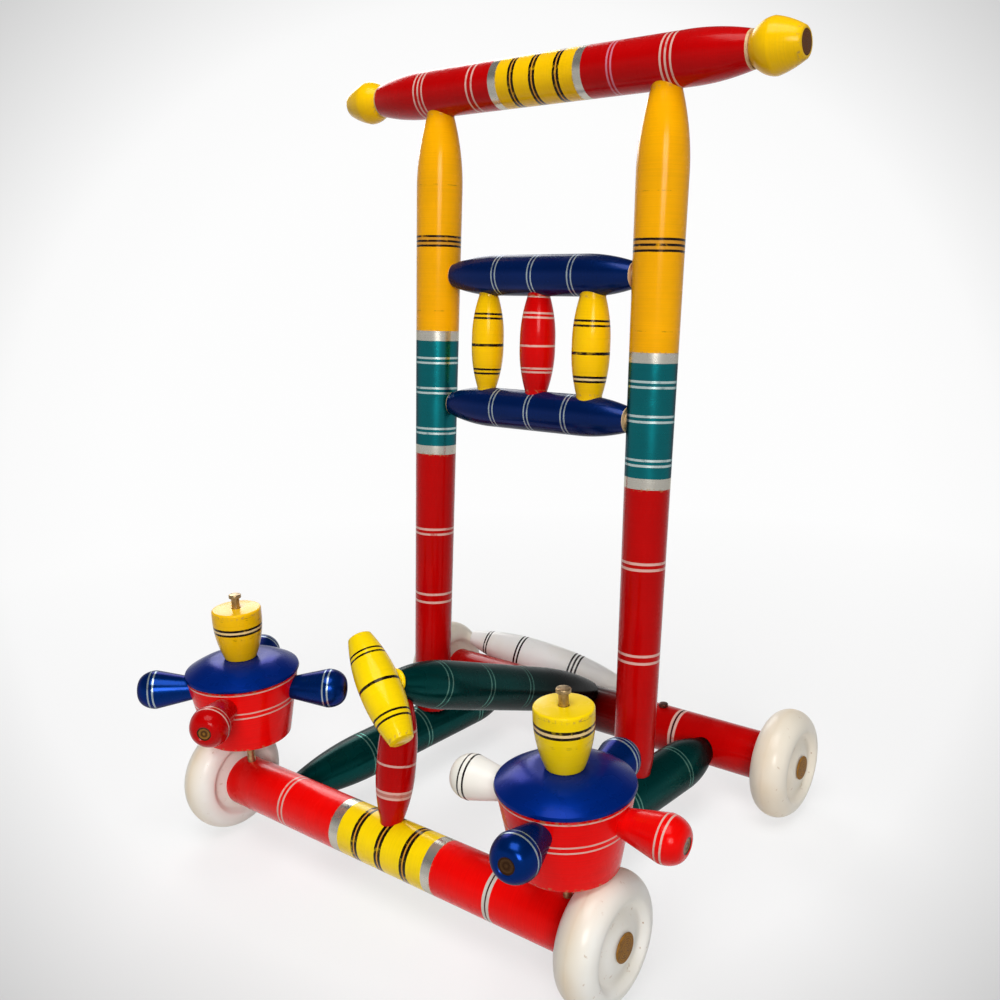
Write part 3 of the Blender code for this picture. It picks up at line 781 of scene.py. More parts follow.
def lacquer(
    name, axis, zones, lines=(), metal=0.0, shade=(), worn=(), scratches=(), tip=None, coat=COAT
):
    """Turned and lacquered wood, painted along the piece's own Z.

    Metal is one sheen or zones of it. Shade is painted shade that darkens the paint along the
    piece.
    Worn places lose paint in flecks, scratches are short pieces of thin dark rings, and tip is the
    start, radius and colour of a dowel's end.
    """
    paint = Paint(name, axis, coat)
    height = paint.height()
    colour = paint.zoned(height, zones)
    paint.look(Specular_Tint=colour)
    patches = paint.noise(*PATCHES)
    if lines:
        colour = paint.lined(height, colour, lines, patches, LINE_GAPS)
    turning = paint.turning()
    colour = brushed(paint, colour, turning)
    if shade:
        colour = shaded(paint, height, colour, shade)
    if scratches:
        scored = marks([(*scratches, SCRATCH_WIDTH)], DARK_BROWN)
        colour = paint.lined(height, colour, scored, patches, SCRATCH_GAPS)
    colour = flecked(paint, height, colour, worn)
    if tip:
        colour = dowel_end(paint, height, colour, *tip)
    paint.look(Base_Color=colour, Metallic=sheen_of(paint, height, metal))
    rough = paint.noise(*SMUDGES)
    paint.look(Roughness=paint.span(rough, *LACQUER_ROUGHNESS))
    paint.relief(paint.maths("MULTIPLY_ADD", rough, DENT_SHARE, turning), *LACQUER_RELIEF)
    return paint.material


def brushed(paint, colour, turning):
    """The colour with the streaks and clouds of paint put on by hand."""
    clouds = paint.noise(*CLOUDS)
    tone = paint.maths("MULTIPLY_ADD", clouds, CLOUD_SHARE, paint.span(turning, *BRUSH_TONE))
    made = paint.feed(paint.add("ShaderNodeHueSaturation"), Color=colour, Value=tone)
    return made.outputs["Color"]


def shaded(paint, height, colour, shade):
    """Painted shade: the colour darkened along the piece by (place, share of light) stops."""
    low, high = shade[0][0], shade[-1][0]
    places = [(at - low) / (high - low) for at, _ in shade]
    dark = paint.ramp(
        paint.span(height, low * MM, high * MM), places, [grey(share) for _, share in shade]
    )
    return paint.mix(1.0, colour, dark, "MULTIPLY")


def flecked(paint, height, colour, worn):
    """The colour with chips at worn places and dark specks all over."""
    flecks = paint.noise(*FLECKS)
    if worn:
        colour = paint.mix(paint.near(height, worn, CHIP_WIDTH, flecks, CHIPS), colour, TAN)
    return paint.mix(paint.span(flecks, *SPECKS), colour, DARK_BROWN)


def sheen_of(paint, height, metal):
    """A single sheen as it is, or the sheen of each zone along the piece."""
    if isinstance(metal, float):
        return metal
    return paint.zoned(height, [(start, grey(value)) for start, value in metal])


def dowel_end(paint, height, colour, start, radius, tone):
    """End grain within a radius of the axis, past a place along the piece."""
    part = paint.parts(paint.local)
    flat = paint.feed(paint.add("ShaderNodeCombineXYZ"), X=part["X"], Y=part["Y"])
    length = paint.vector_maths("LENGTH", flat.outputs["Vector"])["Value"]
    grain = paint.noise(*END_GRAIN)
    out = paint.span(length, 0, radius * MM)
    blurred = paint.maths("MULTIPLY_ADD", grain, END_GRAIN_SHARE, out)
    wood = paint.ramp(blurred, END_RING_STOPS, (tone, DARK_BROWN, tone, DARK_BROWN))
    inside = paint.maths("LESS_THAN", out, END_LIMIT)
    past = paint.maths("GREATER_THAN", height, start * MM)
    return paint.mix(paint.maths("MULTIPLY", inside, past), colour, wood)


def dowel_wood(name, axis, tone):
    """End-grain wood with rings round the piece's own axis."""
    paint = Paint(name, axis)
    grain = paint.noise(*DOWEL_GRAIN, stretch=DOWEL_STRETCH)
    waves = paint.add("ShaderNodeTexWave", wave_type="RINGS", rings_direction="Z")
    paint.feed(waves, Vector=paint.local, Scale=DOWEL_RING_SCALE)
    paint.feed(waves, Distortion=DOWEL_RING_WAVE, Detail=DOWEL_RING_WAVE)
    streaks = paint.span(grain, *DOWEL_STREAKS)
    rings = paint.maths("MULTIPLY_ADD", waves.outputs["Fac"], DOWEL_RING_SHARE, streaks)
    wood = paint.ramp(rings, DOWEL_STOPS, (DARK_BROWN, tone, toned(tone, DOWEL_LIGHT)))
    paint.look(Base_Color=wood, Roughness=paint.span(grain, *DOWEL_ROUGHNESS))
    paint.relief(rings, *DOWEL_RELIEF)
    return paint.material


def nail_metal(name, tint):
    """Old plated metal with brown tarnish."""
    paint = Paint(name)
    stain = paint.noise(*TARNISH)
    drawn = paint.noise(*DRAWN_MARKS, stretch=DRAWN_STRETCH)
    tones = (toned(tint, TARNISH_DARK), tint, toned(tint, TARNISH_LIGHT))
    paint.look(Base_Color=paint.ramp(stain, TARNISH_STOPS, tones))
    paint.look(Metallic=NAIL_SHEEN, Roughness=paint.span(stain, *NAIL_ROUGHNESS))
    paint.relief(drawn, *NAIL_RELIEF)
    return paint.material


def worn_ivory(name, axis, tone, lines=(), worn=(), aged_reach=0):
    """Ivory lacquer with tan flecks where it is worn, yellowed within a reach of its middle."""
    paint = Paint(name, axis, IVORY_COAT)
    height = paint.height()
    ground = paint.noise(*IVORY_GROUND)
    dull = tuple(part * share for part, share in zip(tone, DULL_IVORY))
    colour = paint.ramp(ground, IVORY_STOPS, (dull, tone))
    if aged_reach:
        aged = paint.near(height, (0,), aged_reach, ground, IVORY_AGE)
        colour = paint.mix(aged, colour, AGED_IVORY)
    if lines:
        colour = paint.lined(height, colour, lines, paint.noise(*PATCHES), IVORY_LINE_GAPS)
    flecks = paint.noise(*IVORY_FLECKS)
    bare = paint.span(paint.noise(*IVORY_PATCHES), *IVORY_BARE)
    gone = paint.maths("MULTIPLY", paint.span(flecks, *IVORY_LOSS), bare)
    if worn:
        chips = paint.near(height, worn, IVORY_CHIP_WIDTH, flecks, IVORY_CHIPS)
        gone = paint.maths("MAXIMUM", gone, chips)
    paint.look(Base_Color=paint.mix(gone, colour, TAN))
    rough = paint.noise(*IVORY_SMUDGES)
    paint.look(Roughness=paint.span(rough, *IVORY_ROUGHNESS))
    dents = paint.maths("ADD", paint.maths("MULTIPLY", flecks, IVORY_DENT_SHARE), paint.turning())
    paint.relief(dents, *IVORY_RELIEF)
    return paint.material


class Walker:
    """Puts the looks on the CAD frame's bodies."""

    def __init__(self, frame):
        self.nodes = frame["nodes"]
        self.slots = {part["node"]: part["material_slot"] for part in frame["record"]["subparts"]}
        low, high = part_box("front_axle_beam")
        self.shift = (low + high) / 2 - Vector((0, 0, WHEEL_RADIUS * MM))

    def at(self, point):
        return Vector(point) * MM + self.shift

    def turn(self, node, profile, origin, axis, material, sides=FINE_SIDES):
        """A turned piece that stands for the CAD node, with its profile along the axis."""
        name = f"{node}_look"
        obj = placed(name, turned_mesh(name, profile, axis, sides))
        obj.data.materials.append(material)
        obj.location = self.at(origin)
        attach(obj, self.nodes[node]["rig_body"])
        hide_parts(node)


def post_y(height):
    """Where the posts' axes are at a height above the floor."""
    return POST_BASE_Y + (height - WHEEL_RADIUS) * math.tan(POST_LEAN)


def lean_axis(angle):
    return Vector((0, math.sin(angle), math.cos(angle)))


def beams(walker):
    half = AXLE_HALF_LENGTH
    profile = plain_bar(-half, half, AXLE_RADIUS, AXLE_EDGE)
    zones, metal = banded(-half, FRONT_BEAM_BANDS, RED, YELLOW, RED)
    lines = marks([FRONT_BEAM_PALE], PALE) + marks([FRONT_BEAM_SILVER], SILVER, DARK_RED)
    lines += marks(doubles(*FRONT_BEAM_DOUBLES), BLACK, ORANGE)
    worn = (-half, FRONT_BEAM_BANDS[0], FRONT_BEAM_BANDS[-1], half)
    paint = lacquer("front_beam_paint", X_AXIS, zones, lines, metal, worn=worn)
    walker.turn("front_axle_beam", profile, (0, 0, WHEEL_RADIUS), X_AXIS, paint)
    zones = [(-half, POST_RED)]
    lines = marks(REAR_BEAM_LINES, PALE, DARK_RED)
    # Painted shade that darkens the rear beam's middle almost to black
    shade = [(-half, 1), *REAR_BEAM_SHADE, (half, 1)]
    paint = lacquer("rear_beam_paint", X_AXIS, zones, lines, shade=shade, worn=(-half, half))
    walker.turn("rear_axle_beam", profile, (0, WHEELBASE, WHEEL_RADIUS), X_AXIS, paint)


def wheel_profile():
    half = WHEEL_WIDTH / 2
    hub_z = -half + WHEEL_HUB_INSET
    low = [(hub_z, WHEEL_BORE)]
    for t in shares(ROUND_STEPS):
        dip = WHEEL_VALLEY_DEPTH * math.sin(QUARTER_TURN * t) ** 2
        low.append((hub_z + dip, part_way(WHEEL_HUB_RADIUS, WHEEL_VALLEY_RADIUS, t)))
    valley = WHEEL_HUB_INSET + WHEEL_VALLEY_DEPTH
    for t in shares(SHORT_STEPS, 1):
        rise = valley * math.cos(QUARTER_TURN * t) ** WHEEL_RISE_POWER
        low.append((-half + rise, part_way(WHEEL_VALLEY_RADIUS, WHEEL_SIDE_RADIUS, t)))
    for t in shares(ROUND_STEPS, 1)[:-1]:
        a = QUARTER_TURN * t
        radius = part_way(WHEEL_SIDE_RADIUS, WHEEL_LOOK_RADIUS, math.sin(a))
        low.append((-half * math.cos(a), radius))
    return mirrored(low + [(0, WHEEL_LOOK_RADIUS)])


def pin_profile():
    shank = END_GAP + WHEEL_WIDTH - WHEEL_HUB_INSET + END_GAP
    profile = face(-PIN_PLUG, PIN_RADIUS, PIN_EDGE)
    profile += [(shank, PIN_RADIUS), (shank, PIN_HEAD_RADIUS - PIN_HEAD_LIP)]
    return profile + back_face(shank + PIN_HEAD_HEIGHT, PIN_HEAD_RADIUS, PIN_EDGE)


def wheels(walker):
    for end, y in (("front", 0), ("rear", WHEELBASE)):
        reach = WHEEL_AGED_REACH[end]
        for side, sign in SIDES:
            name = f"{end}_{side}_wheel"
            out = sign * X_AXIS
            hub = (sign * (AXLE_HALF_LENGTH + END_GAP + WHEEL_WIDTH / 2), y, WHEEL_RADIUS)
            ivory = worn_ivory(f"{name}_ivory", out, IVORY, worn=WHEEL_WORN, aged_reach=reach)
            walker.turn(name, wheel_profile(), hub, out, ivory, WIDE_SIDES)
            seat = (sign * AXLE_HALF_LENGTH, y, WHEEL_RADIUS)
            wood = dowel_wood(f"{name}_pin_wood", out, DOWEL_BROWN)
            walker.turn(f"{name}_pin", pin_profile(), seat, out, wood, DOWEL_SIDES)


def rails(walker):
    for side, _ in SIDES:
        front_x, rear_x = RAIL_ENDS[side]
        front = Vector((front_x, 0, WHEEL_RADIUS))
        rear = Vector((rear_x, WHEELBASE, WHEEL_RADIUS))
        end = (rear - front).length / 2 - AXLE_RADIUS
        tip = end + RAIL_PLUG
        profile = disc(-tip, RAIL_END_RADIUS)
        profile += ease(-end, -end + RAIL_FRONT_TAPER, RAIL_END_RADIUS, RAIL_RADIUS)
        profile += down(end - RAIL_REAR_TAPER, end, RAIL_RADIUS, RAIL_END_RADIUS)
        profile += back_disc(tip, RAIL_END_RADIUS)
        paint = lacquer(
            f"{side}_rail_paint", rear - front, [(-tip, GREEN)],
            marks(doubles(*RAIL_DOUBLES[side]), PALE_GREEN), GREEN_SHEEN, rail_shade(end, tip),
            coat=LOW_COAT,
        )
        walker.turn(f"{side}_side_rail", profile, (front + rear) / 2, rear - front, paint)


# Painted shade towards the rails' ends, darkest at the rear end
def rail_shade(end, tip):
    front, rear, dark = RAIL_SHADE_FADES
    places = (-tip, -end + front, end - rear, end - dark, tip)
    return list(zip(places, RAIL_SHADE))


def posts(walker):
    neck = (HANDLE_HEIGHT - WHEEL_RADIUS) / math.cos(POST_LEAN) - HANDLE_RADIUS
    profile = face(POST_FOOT_START, POST_FOOT_RADIUS, POST_FOOT_EDGE)
    profile += ease(*POST_FLARE, POST_FOOT_RADIUS, POST_LOW_RADIUS, POST_FLARE_STEPS)
    profile += down(neck - POST_NECK_TAPER, neck, POST_TOP_RADIUS, POST_NECK_RADIUS)
    profile += back_disc(neck + POST_TOP_PLUG, POST_NECK_RADIUS)
    lean = lean_axis(POST_LEAN)
    for side, sign in SIDES:
        bands = POST_BANDS[side]
        zones, metal = banded(0, bands, POST_RED, TEAL, AMBER, TEAL_SHEEN)
        lines = marks(POST_PALE[side], PALE) + marks(doubles(*POST_DOUBLES[side]), TEAL_LINE)
        lines += marks([POST_BLACK[side]], BLACK, ORANGE)
        paint = lacquer(
            f"{side}_post_paint", lean, zones, lines, metal,
            worn=(bands[0], bands[-1], neck), scratches=POST_SCRATCHES[side],
        )
        foot = (sign * POST_X, POST_BASE_Y, WHEEL_RADIUS)
        walker.turn(f"{side}_post", profile, foot, lean, paint)


def handle(walker):
    half = HANDLE_HALF_LENGTH
    low = [(-half, 0)] + ease(-half, -half + HANDLE_TAPER, HANDLE_END_RADIUS, HANDLE_RADIUS)
    bare = half - HANDLE_BARE_END
    zones, metal = banded(-bare, HANDLE_BANDS, HANDLE_RED, GOLD, HANDLE_RED)
    zones = [(-half, BARE_WOOD), *zones, (bare, BARE_WOOD)]
    lines = marks(HANDLE_PALE, PALE) + marks([HANDLE_MAUVE], MAUVE) + marks([HANDLE_RINGS], PALE)
    lines += marks(doubles(*HANDLE_DOUBLES), BLACK, ORANGE)
    worn = (-half, HANDLE_BANDS[1], HANDLE_BANDS[2], half)
    paint = lacquer("handle_paint", X_AXIS, zones, lines, metal, worn=worn)
    y = post_y(HANDLE_HEIGHT)
    walker.turn("handle_bar", mirrored(low), (0, y, HANDLE_HEIGHT), X_AXIS, paint)
    for side, sign in SIDES:
        knob(walker, side, sign * X_AXIS, Vector((sign * (half + GLUE_GAP), y, HANDLE_HEIGHT)))


def knob_profile(radius):
    edge = KNOB_LENGTH - KNOB_EDGE
    profile = [(0, KNOB_BORE)] + ease(0, KNOB_BELLY, KNOB_NECK_RADIUS, radius)
    for z, curved in down(KNOB_BELLY, edge, radius, KNOB_EDGE_RADIUS)[1:]:
        t = (z - KNOB_BELLY) / (edge - KNOB_BELLY)
        straight = part_way(radius, KNOB_EDGE_RADIUS, t)
        profile.append((z, part_way(straight, curved, KNOB_CURVE)))
    profile += [(KNOB_LENGTH - KNOB_END_ROUND, KNOB_END_RADIUS), (KNOB_LENGTH, KNOB_FACE_RADIUS)]
    return profile + [(KNOB_LENGTH, KNOB_BORE)]


def knob(walker, side, out, seat):
    """A double-cone knob and the dowel that shows in its end."""
    paint = lacquer(f"{side}_knob_paint", out, [(0, GOLD)], worn=KNOB_WORN)
    walker.turn(f"{side}_handle_knob", knob_profile(KNOB_RADII[side]), seat, out, paint)
    end = KNOB_LENGTH + KNOB_DOWEL_SHOW
    dowel = plain_bar(-KNOB_DOWEL_PLUG, end, KNOB_DOWEL_RADIUS, KNOB_DOWEL_EDGE)
    wood = dowel_wood(f"{side}_knob_dowel_wood", out, KNOB_DOWEL_BROWN)
    walker.turn(f"{side}_knob_dowel", dowel, seat, out, wood, DOWEL_SIDES)


def crossbars(walker):
    half = CROSSBAR_LENGTH / 2
    tip = half + CROSSBAR_TENON
    low = disc(-tip, CROSSBAR_TENON_RADIUS) + [(-half, CROSSBAR_TENON_RADIUS)]
    low += ease(-half, -half + CROSSBAR_TAPER, CROSSBAR_END_RADIUS, CROSSBAR_RADIUS)
    bare = half - CROSSBAR_BARE_END
    zones = [(-tip, BARE_WOOD), (-bare, BLUE), (bare, BARE_WOOD)]
    metal = [(-tip, 0), (-bare, CROSSBAR_SHEEN), (bare, 0)]
    for name, height in CROSSBAR_HEIGHTS.items():
        lines = marks(doubles(*CROSSBAR_DOUBLES[name]), PALE_SILVER)
        paint = lacquer(f"{name}_crossbar_paint", X_AXIS, zones, lines, metal)
        walker.turn(f"{name}_crossbar", mirrored(low), (0, post_y(height), height), X_AXIS, paint)


def spindles(walker):
    upper, lower = CROSSBAR_HEIGHTS["upper"], CROSSBAR_HEIGHTS["lower"]
    half = (upper - lower) / math.cos(POST_LEAN) / 2 - CROSSBAR_RADIUS
    tip = half + SPINDLE_PLUG
    height = (upper + lower) / 2
    lean = lean_axis(POST_LEAN)
    for step, (name, (ground, line)) in enumerate(SPINDLE_PAINTS.items(), -1):
        radius, end_radius = SPINDLE_RADII[name]
        low = disc(-tip, end_radius) + ease(-half, -BELLY * half, end_radius, radius)
        lines = marks(SPINDLE_LINES[name], line)
        if name == "right":
            lines = marks([RIGHT_SPINDLE_CREAM], line, CREAM) + lines
        paint = lacquer(f"{name}_spindle_paint", lean, [(-tip, ground)], lines, worn=(-half, half))
        at = (step * SPINDLE_SPACING, post_y(height), height)
        walker.turn(f"{name}_spindle", mirrored(low), at, lean, paint)


def centre(walker):
    start = Vector((0, WHEELBASE, WHEEL_RADIUS + SLOPE_RISE))
    nose = Vector((0, SLOPE_NOSE_Y, SLOPE_NOSE_HEIGHT))
    slope = (nose - start).normalized()
    centre_bar(walker, start, nose, slope)
    centre_post(walker, start, nose)
    hub = nose + slope * (END_GAP + HUB_BEAD_LENGTH + GLUE_GAP + BLADE_RADIUS)
    propeller_peg(walker, hub, slope)
    propeller_blade(walker, hub, slope)


def centre_bar(walker, start, nose, slope):
    """The bar that slopes from the rear beam up to the propeller."""
    tail, shoulder, end = -SLOPE_TENON, SLOPE_SHOULDER, (nose - start).length
    full = shoulder + SLOPE_REAR_TAPER
    profile = disc(tail, SLOPE_TENON_RADIUS) + [(shoulder, SLOPE_TENON_RADIUS)]
    profile += ease(shoulder, full, SLOPE_REAR_RADIUS, SLOPE_RADIUS)
    profile += down(end - SLOPE_NOSE_TAPER, end, SLOPE_RADIUS, SLOPE_NOSE_RADIUS)
    profile += [(end, HUB_SOCKET_RADIUS)] + back_disc(end - HUB_SOCKET, HUB_SOCKET_RADIUS)
    # Painted shade that darkens the centre bar's rear part almost to black
    paint = lacquer(
        "centre_bar_paint", slope, [(tail, GREEN)], marks(doubles(*SLOPE_DOUBLES), PALE_GREEN),
        GREEN_SHEEN, [*SLOPE_SHADE, (end, 1)], coat=LOW_COAT,
    )
    walker.turn("centre_bar", profile, start, slope, paint)


def centre_post(walker, start, nose):
    """The upright on the front beam, up to the centre bar."""
    foot = Vector((0, STAND_BASE_Y, WHEEL_RADIUS))
    lean = lean_axis(STAND_LEAN)
    crossing = geometry.intersect_line_line(foot, foot + lean, start, nose)[0]
    top = (crossing - foot).length - STAND_SHOULDER
    full = AXLE_RADIUS + STAND_TAPER
    profile = disc(STAND_START, STAND_END_RADIUS)
    profile += ease(AXLE_RADIUS, full, STAND_END_RADIUS, STAND_RADIUS)
    profile += down(top - STAND_TAPER, top, STAND_RADIUS, STAND_END_RADIUS)
    profile += back_disc(top + STAND_TENON, STAND_TENON_RADIUS)
    lines = marks([STAND_LOW], PALE, ROSE) + marks([STAND_RINGS], PALE)
    paint = lacquer("centre_post_paint", lean, [(0, POST_RED)], lines)
    walker.turn("centre_post", profile, foot, lean, paint)


def propeller_peg(walker, hub, slope):
    """The peg in the centre bar's nose, with a bead behind the blade."""
    back = -BLADE_RADIUS - GLUE_GAP
    bead = back - HUB_BEAD_LENGTH
    start = bead - HUB_PEG_TAIL
    profile = disc(start, HUB_PEG_RADIUS) + [(bead, HUB_PEG_RADIUS)]
    for t in shares(SHORT_STEPS):
        a = math.pi * t
        radius = part_way(HUB_BEAD_RIM_RADIUS, HUB_BEAD_RADIUS, math.sin(a))
        profile.append((bead + HUB_BEAD_LENGTH * (1 - math.cos(a)) / 2, radius))
    profile += [(back, HUB_PEG_RADIUS)] + back_disc(back + HUB_PEG_PLUG, HUB_PEG_RADIUS)
    paint = lacquer("propeller_peg_paint", slope, [(start, YELLOW)])
    walker.turn("propeller_peg", profile, hub, slope, paint, DOWEL_SIDES)


def propeller_blade(walker, hub, slope):
    across = slope.cross(X_AXIS) * math.cos(BLADE_TURN) - X_AXIS * math.sin(BLADE_TURN)
    half = BLADE_LENGTH / 2
    low = disc(-half, BLADE_FACE_RADIUS)
    low += ease(-half + BLADE_EDGE, -BLADE_BELLY * half, BLADE_END_RADIUS, BLADE_RADIUS)
    zones, lines = [(-half, YELLOW)], marks(BLADE_LINES, BLACK)
    worn = (BLADE_WORN - half, half - BLADE_WORN)
    paint = lacquer("propeller_blade_paint", across, zones, lines, worn=worn)
    walker.turn("propeller_blade", mirrored(low), hub - across * BLADE_OFFSET, across, paint)


def drum_profile():
    profile = face(0, DRUM_BOTTOM_RADIUS, DRUM_EDGE, hole=NAIL_BORE)
    return profile + back_face(DRUM_HEIGHT, DRUM_TOP_RADIUS, DRUM_EDGE, NAIL_BORE)


def lid_profile():
    profile = face(0, LID_RADIUS, LID_EDGE, hole=NAIL_BORE)
    for t in shares(LID_STEPS):
        z = part_way(LID_RIM_HEIGHT, LID_HEIGHT, math.sin(QUARTER_TURN * t))
        profile.append((z, LID_RADIUS - LID_LIP - (LID_RADIUS - CAP_RADIUS) * t))
    return profile + [(LID_HEIGHT, NAIL_BORE)]


def cap_profile():
    profile = [(0, NAIL_BORE)] + ease(0, CAP_BELLY * CAP_HEIGHT, CAP_BOTTOM_RADIUS, CAP_RADIUS)
    return profile + back_face(CAP_HEIGHT, CAP_RADIUS, CAP_EDGE, NAIL_BORE)


def nail_profile(bottom, neck, top, radius, head):
    neck_ring = [(neck, radius), (neck, head - NAIL_LIP), (neck + NAIL_LIP, head)]
    return disc(bottom, radius) + neck_ring + back_face(top, head, NAIL_EDGE)


def peg_profile(reach):
    root, shoulder = DRUM_BOTTOM_RADIUS, reach - PEG_ROUND
    profile = disc(PEG_ROOT, PEG_ROOT_RADIUS) + [(root, PEG_ROOT_RADIUS)]
    for t in shares(SHORT_STEPS, 1)[:-1]:
        radius = part_way(PEG_ROOT_RADIUS, PEG_FLARE_RADIUS, t)
        profile.append((part_way(root, shoulder, t), radius))
    for t in shares(ROUND_STEPS):
        a = QUARTER_TURN * t
        radius = part_way(PEG_TIP_RADIUS, PEG_FLARE_RADIUS, math.cos(a))
        profile.append((shoulder + PEG_ROUND * math.sin(a), radius))
    profile.append((reach - PEG_DOWEL_RIM, PEG_DOWEL_RADIUS))
    return profile + back_disc(reach - PEG_DOWEL_INSET, PEG_DOWEL_RADIUS - PEG_DOWEL_INSET)


def peg_paint(name, axis, kind, reach):
    groups = [(*(reach - inset for inset in PEG_LINE_INSETS), PEG_LINE_WIDTH)]
    if kind == "white":
        return worn_ivory(name, axis, IVORY, marks(groups, BLACK))
    ground, line, metal, coat, wood = PEG_PAINTS[kind]
    zones = [(PEG_ROOT, ground)]
    tip = (reach - PEG_DOWEL_DEPTH, PEG_DOWEL_RADIUS, wood)
    return lacquer(name, axis, zones, marks(groups, line), metal, tip=tip, coat=coat)


def cap_paint(side):
    zones = [(0, CAP_PAINTS[side])]
    lines = marks([CAP_LINES[side]], BLACK, CREAM)
    scratches = CAP_SCRATCHES[side]
    return lacquer(f"{side}_cap_paint", Z_AXIS, zones, lines, worn=CAP_WORN, scratches=scratches)


def spinners(walker):
    neck = NAIL_TOP - NAIL_HEAD_HEIGHT
    nail = nail_profile(NAIL_BOTTOM, neck, NAIL_TOP, NAIL_RADIUS, NAIL_HEAD_RADIUS)
    lid_z = DRUM_BOTTOM + DRUM_HEIGHT + GLUE_GAP
    cap_z = lid_z + LID_HEIGHT + GLUE_GAP
    lines = marks(DRUM_LINES, PALE)
    for side, sign in SIDES:
        x = sign * NAIL_X
        metal = nail_metal(f"{side}_nail_metal", NAIL_TINT)
        walker.turn(f"{side}_spinner_nail", nail, (x, 0, 0), Z_AXIS, metal, NAIL_SIDES)
        paint = lacquer(f"{side}_drum_paint", Z_AXIS, [(0, RED)], lines, worn=DRUM_WORN)
        walker.turn(f"{side}_drum", drum_profile(), (x, 0, DRUM_BOTTOM), Z_AXIS, paint, WIDE_SIDES)
        zones = [(0, LID_BLUE)]
        paint = lacquer(f"{side}_lid_paint", Z_AXIS, zones, metal=LID_SHEEN, coat=LOW_COAT)
        walker.turn(f"{side}_lid", lid_profile(), (x, 0, lid_z), Z_AXIS, paint, WIDE_SIDES)
        walker.turn(f"{side}_cap", cap_profile(), (x, 0, cap_z), Z_AXIS, cap_paint(side))
        pegs(walker, side, x)


def pegs(walker, side, x):
    reach = PEG_REACH[side]
    base = Vector((x, 0, DRUM_BOTTOM + DRUM_HEIGHT - PEG_DROP))
    for k, kind in enumerate(PEG_KINDS[side]):
        turn = math.radians(PEG_TURNS[side][k])
        tilt = math.radians(PEG_TILTS[side][k])
        level = Vector((math.cos(turn), math.sin(turn), 0))
        out = level * math.cos(tilt) + Z_AXIS * math.sin(tilt)
        name = f"{side}_peg_{k + 1}"
        paint = peg_paint(f"{name}_paint", out, kind, reach)
        walker.turn(name, peg_profile(reach), base + DRUM_BOTTOM_RADIUS * (level - out), out, paint)


def rear_bar(walker):
    left, right = Vector(REAR_BAR_LEFT), Vector(REAR_BAR_RIGHT)
    along = right - left
    half = along.length / 2
    belly = BELLY * half
    profile = [(-half, 0)]
    profile += ease(-half, -belly, REAR_BAR_END_RADIUS, REAR_BAR_RADIUS, REAR_BAR_STEPS)
    profile += down(belly, half, REAR_BAR_RADIUS, REAR_BAR_END_RADIUS, REAR_BAR_STEPS)
    profile.append((half, REAR_BAR_TENON_RADIUS))
    profile += back_disc(half + REAR_BAR_TENON, REAR_BAR_TENON_RADIUS)
    lines = marks(REAR_BAR_LINES, BLACK)
    ivory = worn_ivory("rear_bar_ivory", along, WHITE, lines, (-half, half))
    walker.turn("rear_bar", profile, (left + right) / 2, along, ivory)
    rear_fixings(walker, left + along * REAR_DOWEL_AT)


def rear_fixings(walker, joint):
    """The dowel from the rear beam to the joint in the white bar, and the nail on the beam."""
    beam = Vector((0, WHEELBASE, WHEEL_RADIUS))
    out = Vector((0, joint.y - beam.y, joint.z - beam.z))
    end = out.length - REAR_DOWEL_STOP
    dowel = plain_bar(REAR_DOWEL_START, end, REAR_DOWEL_RADIUS, REAR_DOWEL_EDGE)
    wood = dowel_wood("rear_dowel_wood", out, DOWEL_BROWN)
    walker.turn("rear_bar_dowel", dowel, beam + joint.x * X_AXIS, out, wood, NAIL_SIDES)
    neck = AXLE_RADIUS + GLUE_GAP
    top = neck + AXLE_NAIL_HEAD_HEIGHT
    nail = nail_profile(AXLE_NAIL_START, neck, top, AXLE_NAIL_RADIUS, AXLE_NAIL_HEAD_RADIUS)
    metal = nail_metal("rear_nail_metal", DARK_NAIL_TINT)
    walker.turn("rear_axle_nail", nail, beam + AXLE_NAIL_X * X_AXIS, Z_AXIS, metal, NAIL_SIDES)


def view_axes():
    """The camera's direction and its level and upright axes before it is rolled."""
    yaw, pitch = CAMERA_YAW, CAMERA_PITCH
    flat = math.cos(pitch)
    ahead = Vector((math.sin(yaw) * flat, math.cos(yaw) * flat, -math.sin(pitch)))
    level = Vector((math.cos(yaw), -math.sin(yaw), 0))
    return ahead, level, level.cross(ahead)


def camera(walker):
    ahead, level, upright = view_axes()
    right = math.cos(CAMERA_ROLL) * level + math.sin(CAMERA_ROLL) * upright
    up = -math.sin(CAMERA_ROLL) * level + math.cos(CAMERA_ROLL) * upright
    data = bpy.data.cameras.new("camera")
    data.sensor_width = SENSOR_WIDTH
    data.lens = CAMERA_LENS
    obj = placed("camera", data)
    turn = Matrix((right, up, -ahead)).transposed().to_4x4()
    obj.matrix_world = Matrix.Translation(walker.at(CAMERA_AT)) @ turn
    bpy.context.scene.camera = obj


def pool(nodes, direction, darkest):
    """A pool of light round the backdrop's middle that fades to grey away from it; on the floor it
    is painted.
    """
    aim = nodes.vector_maths("DOT_PRODUCT", direction, view_axes()[0])["Value"]
    places, values = zip((POOL_EDGE, darkest), *POOL_STOPS)
    return nodes.ramp(aim, places, [grey(value) for value in values])


def floor(walker):
    mesh = bpy.data.meshes.new("floor")
    bm = bmesh.new()
    bmesh.ops.create_circle(bm, cap_ends=True, segments=FINE_SIDES, radius=FLOOR_RADIUS)
    bm.to_mesh(mesh)
    bm.free()
    obj = placed("floor", mesh)
    obj.location.z = -FLOOR_DROP
    mesh.materials.append(floor_paint(walker))


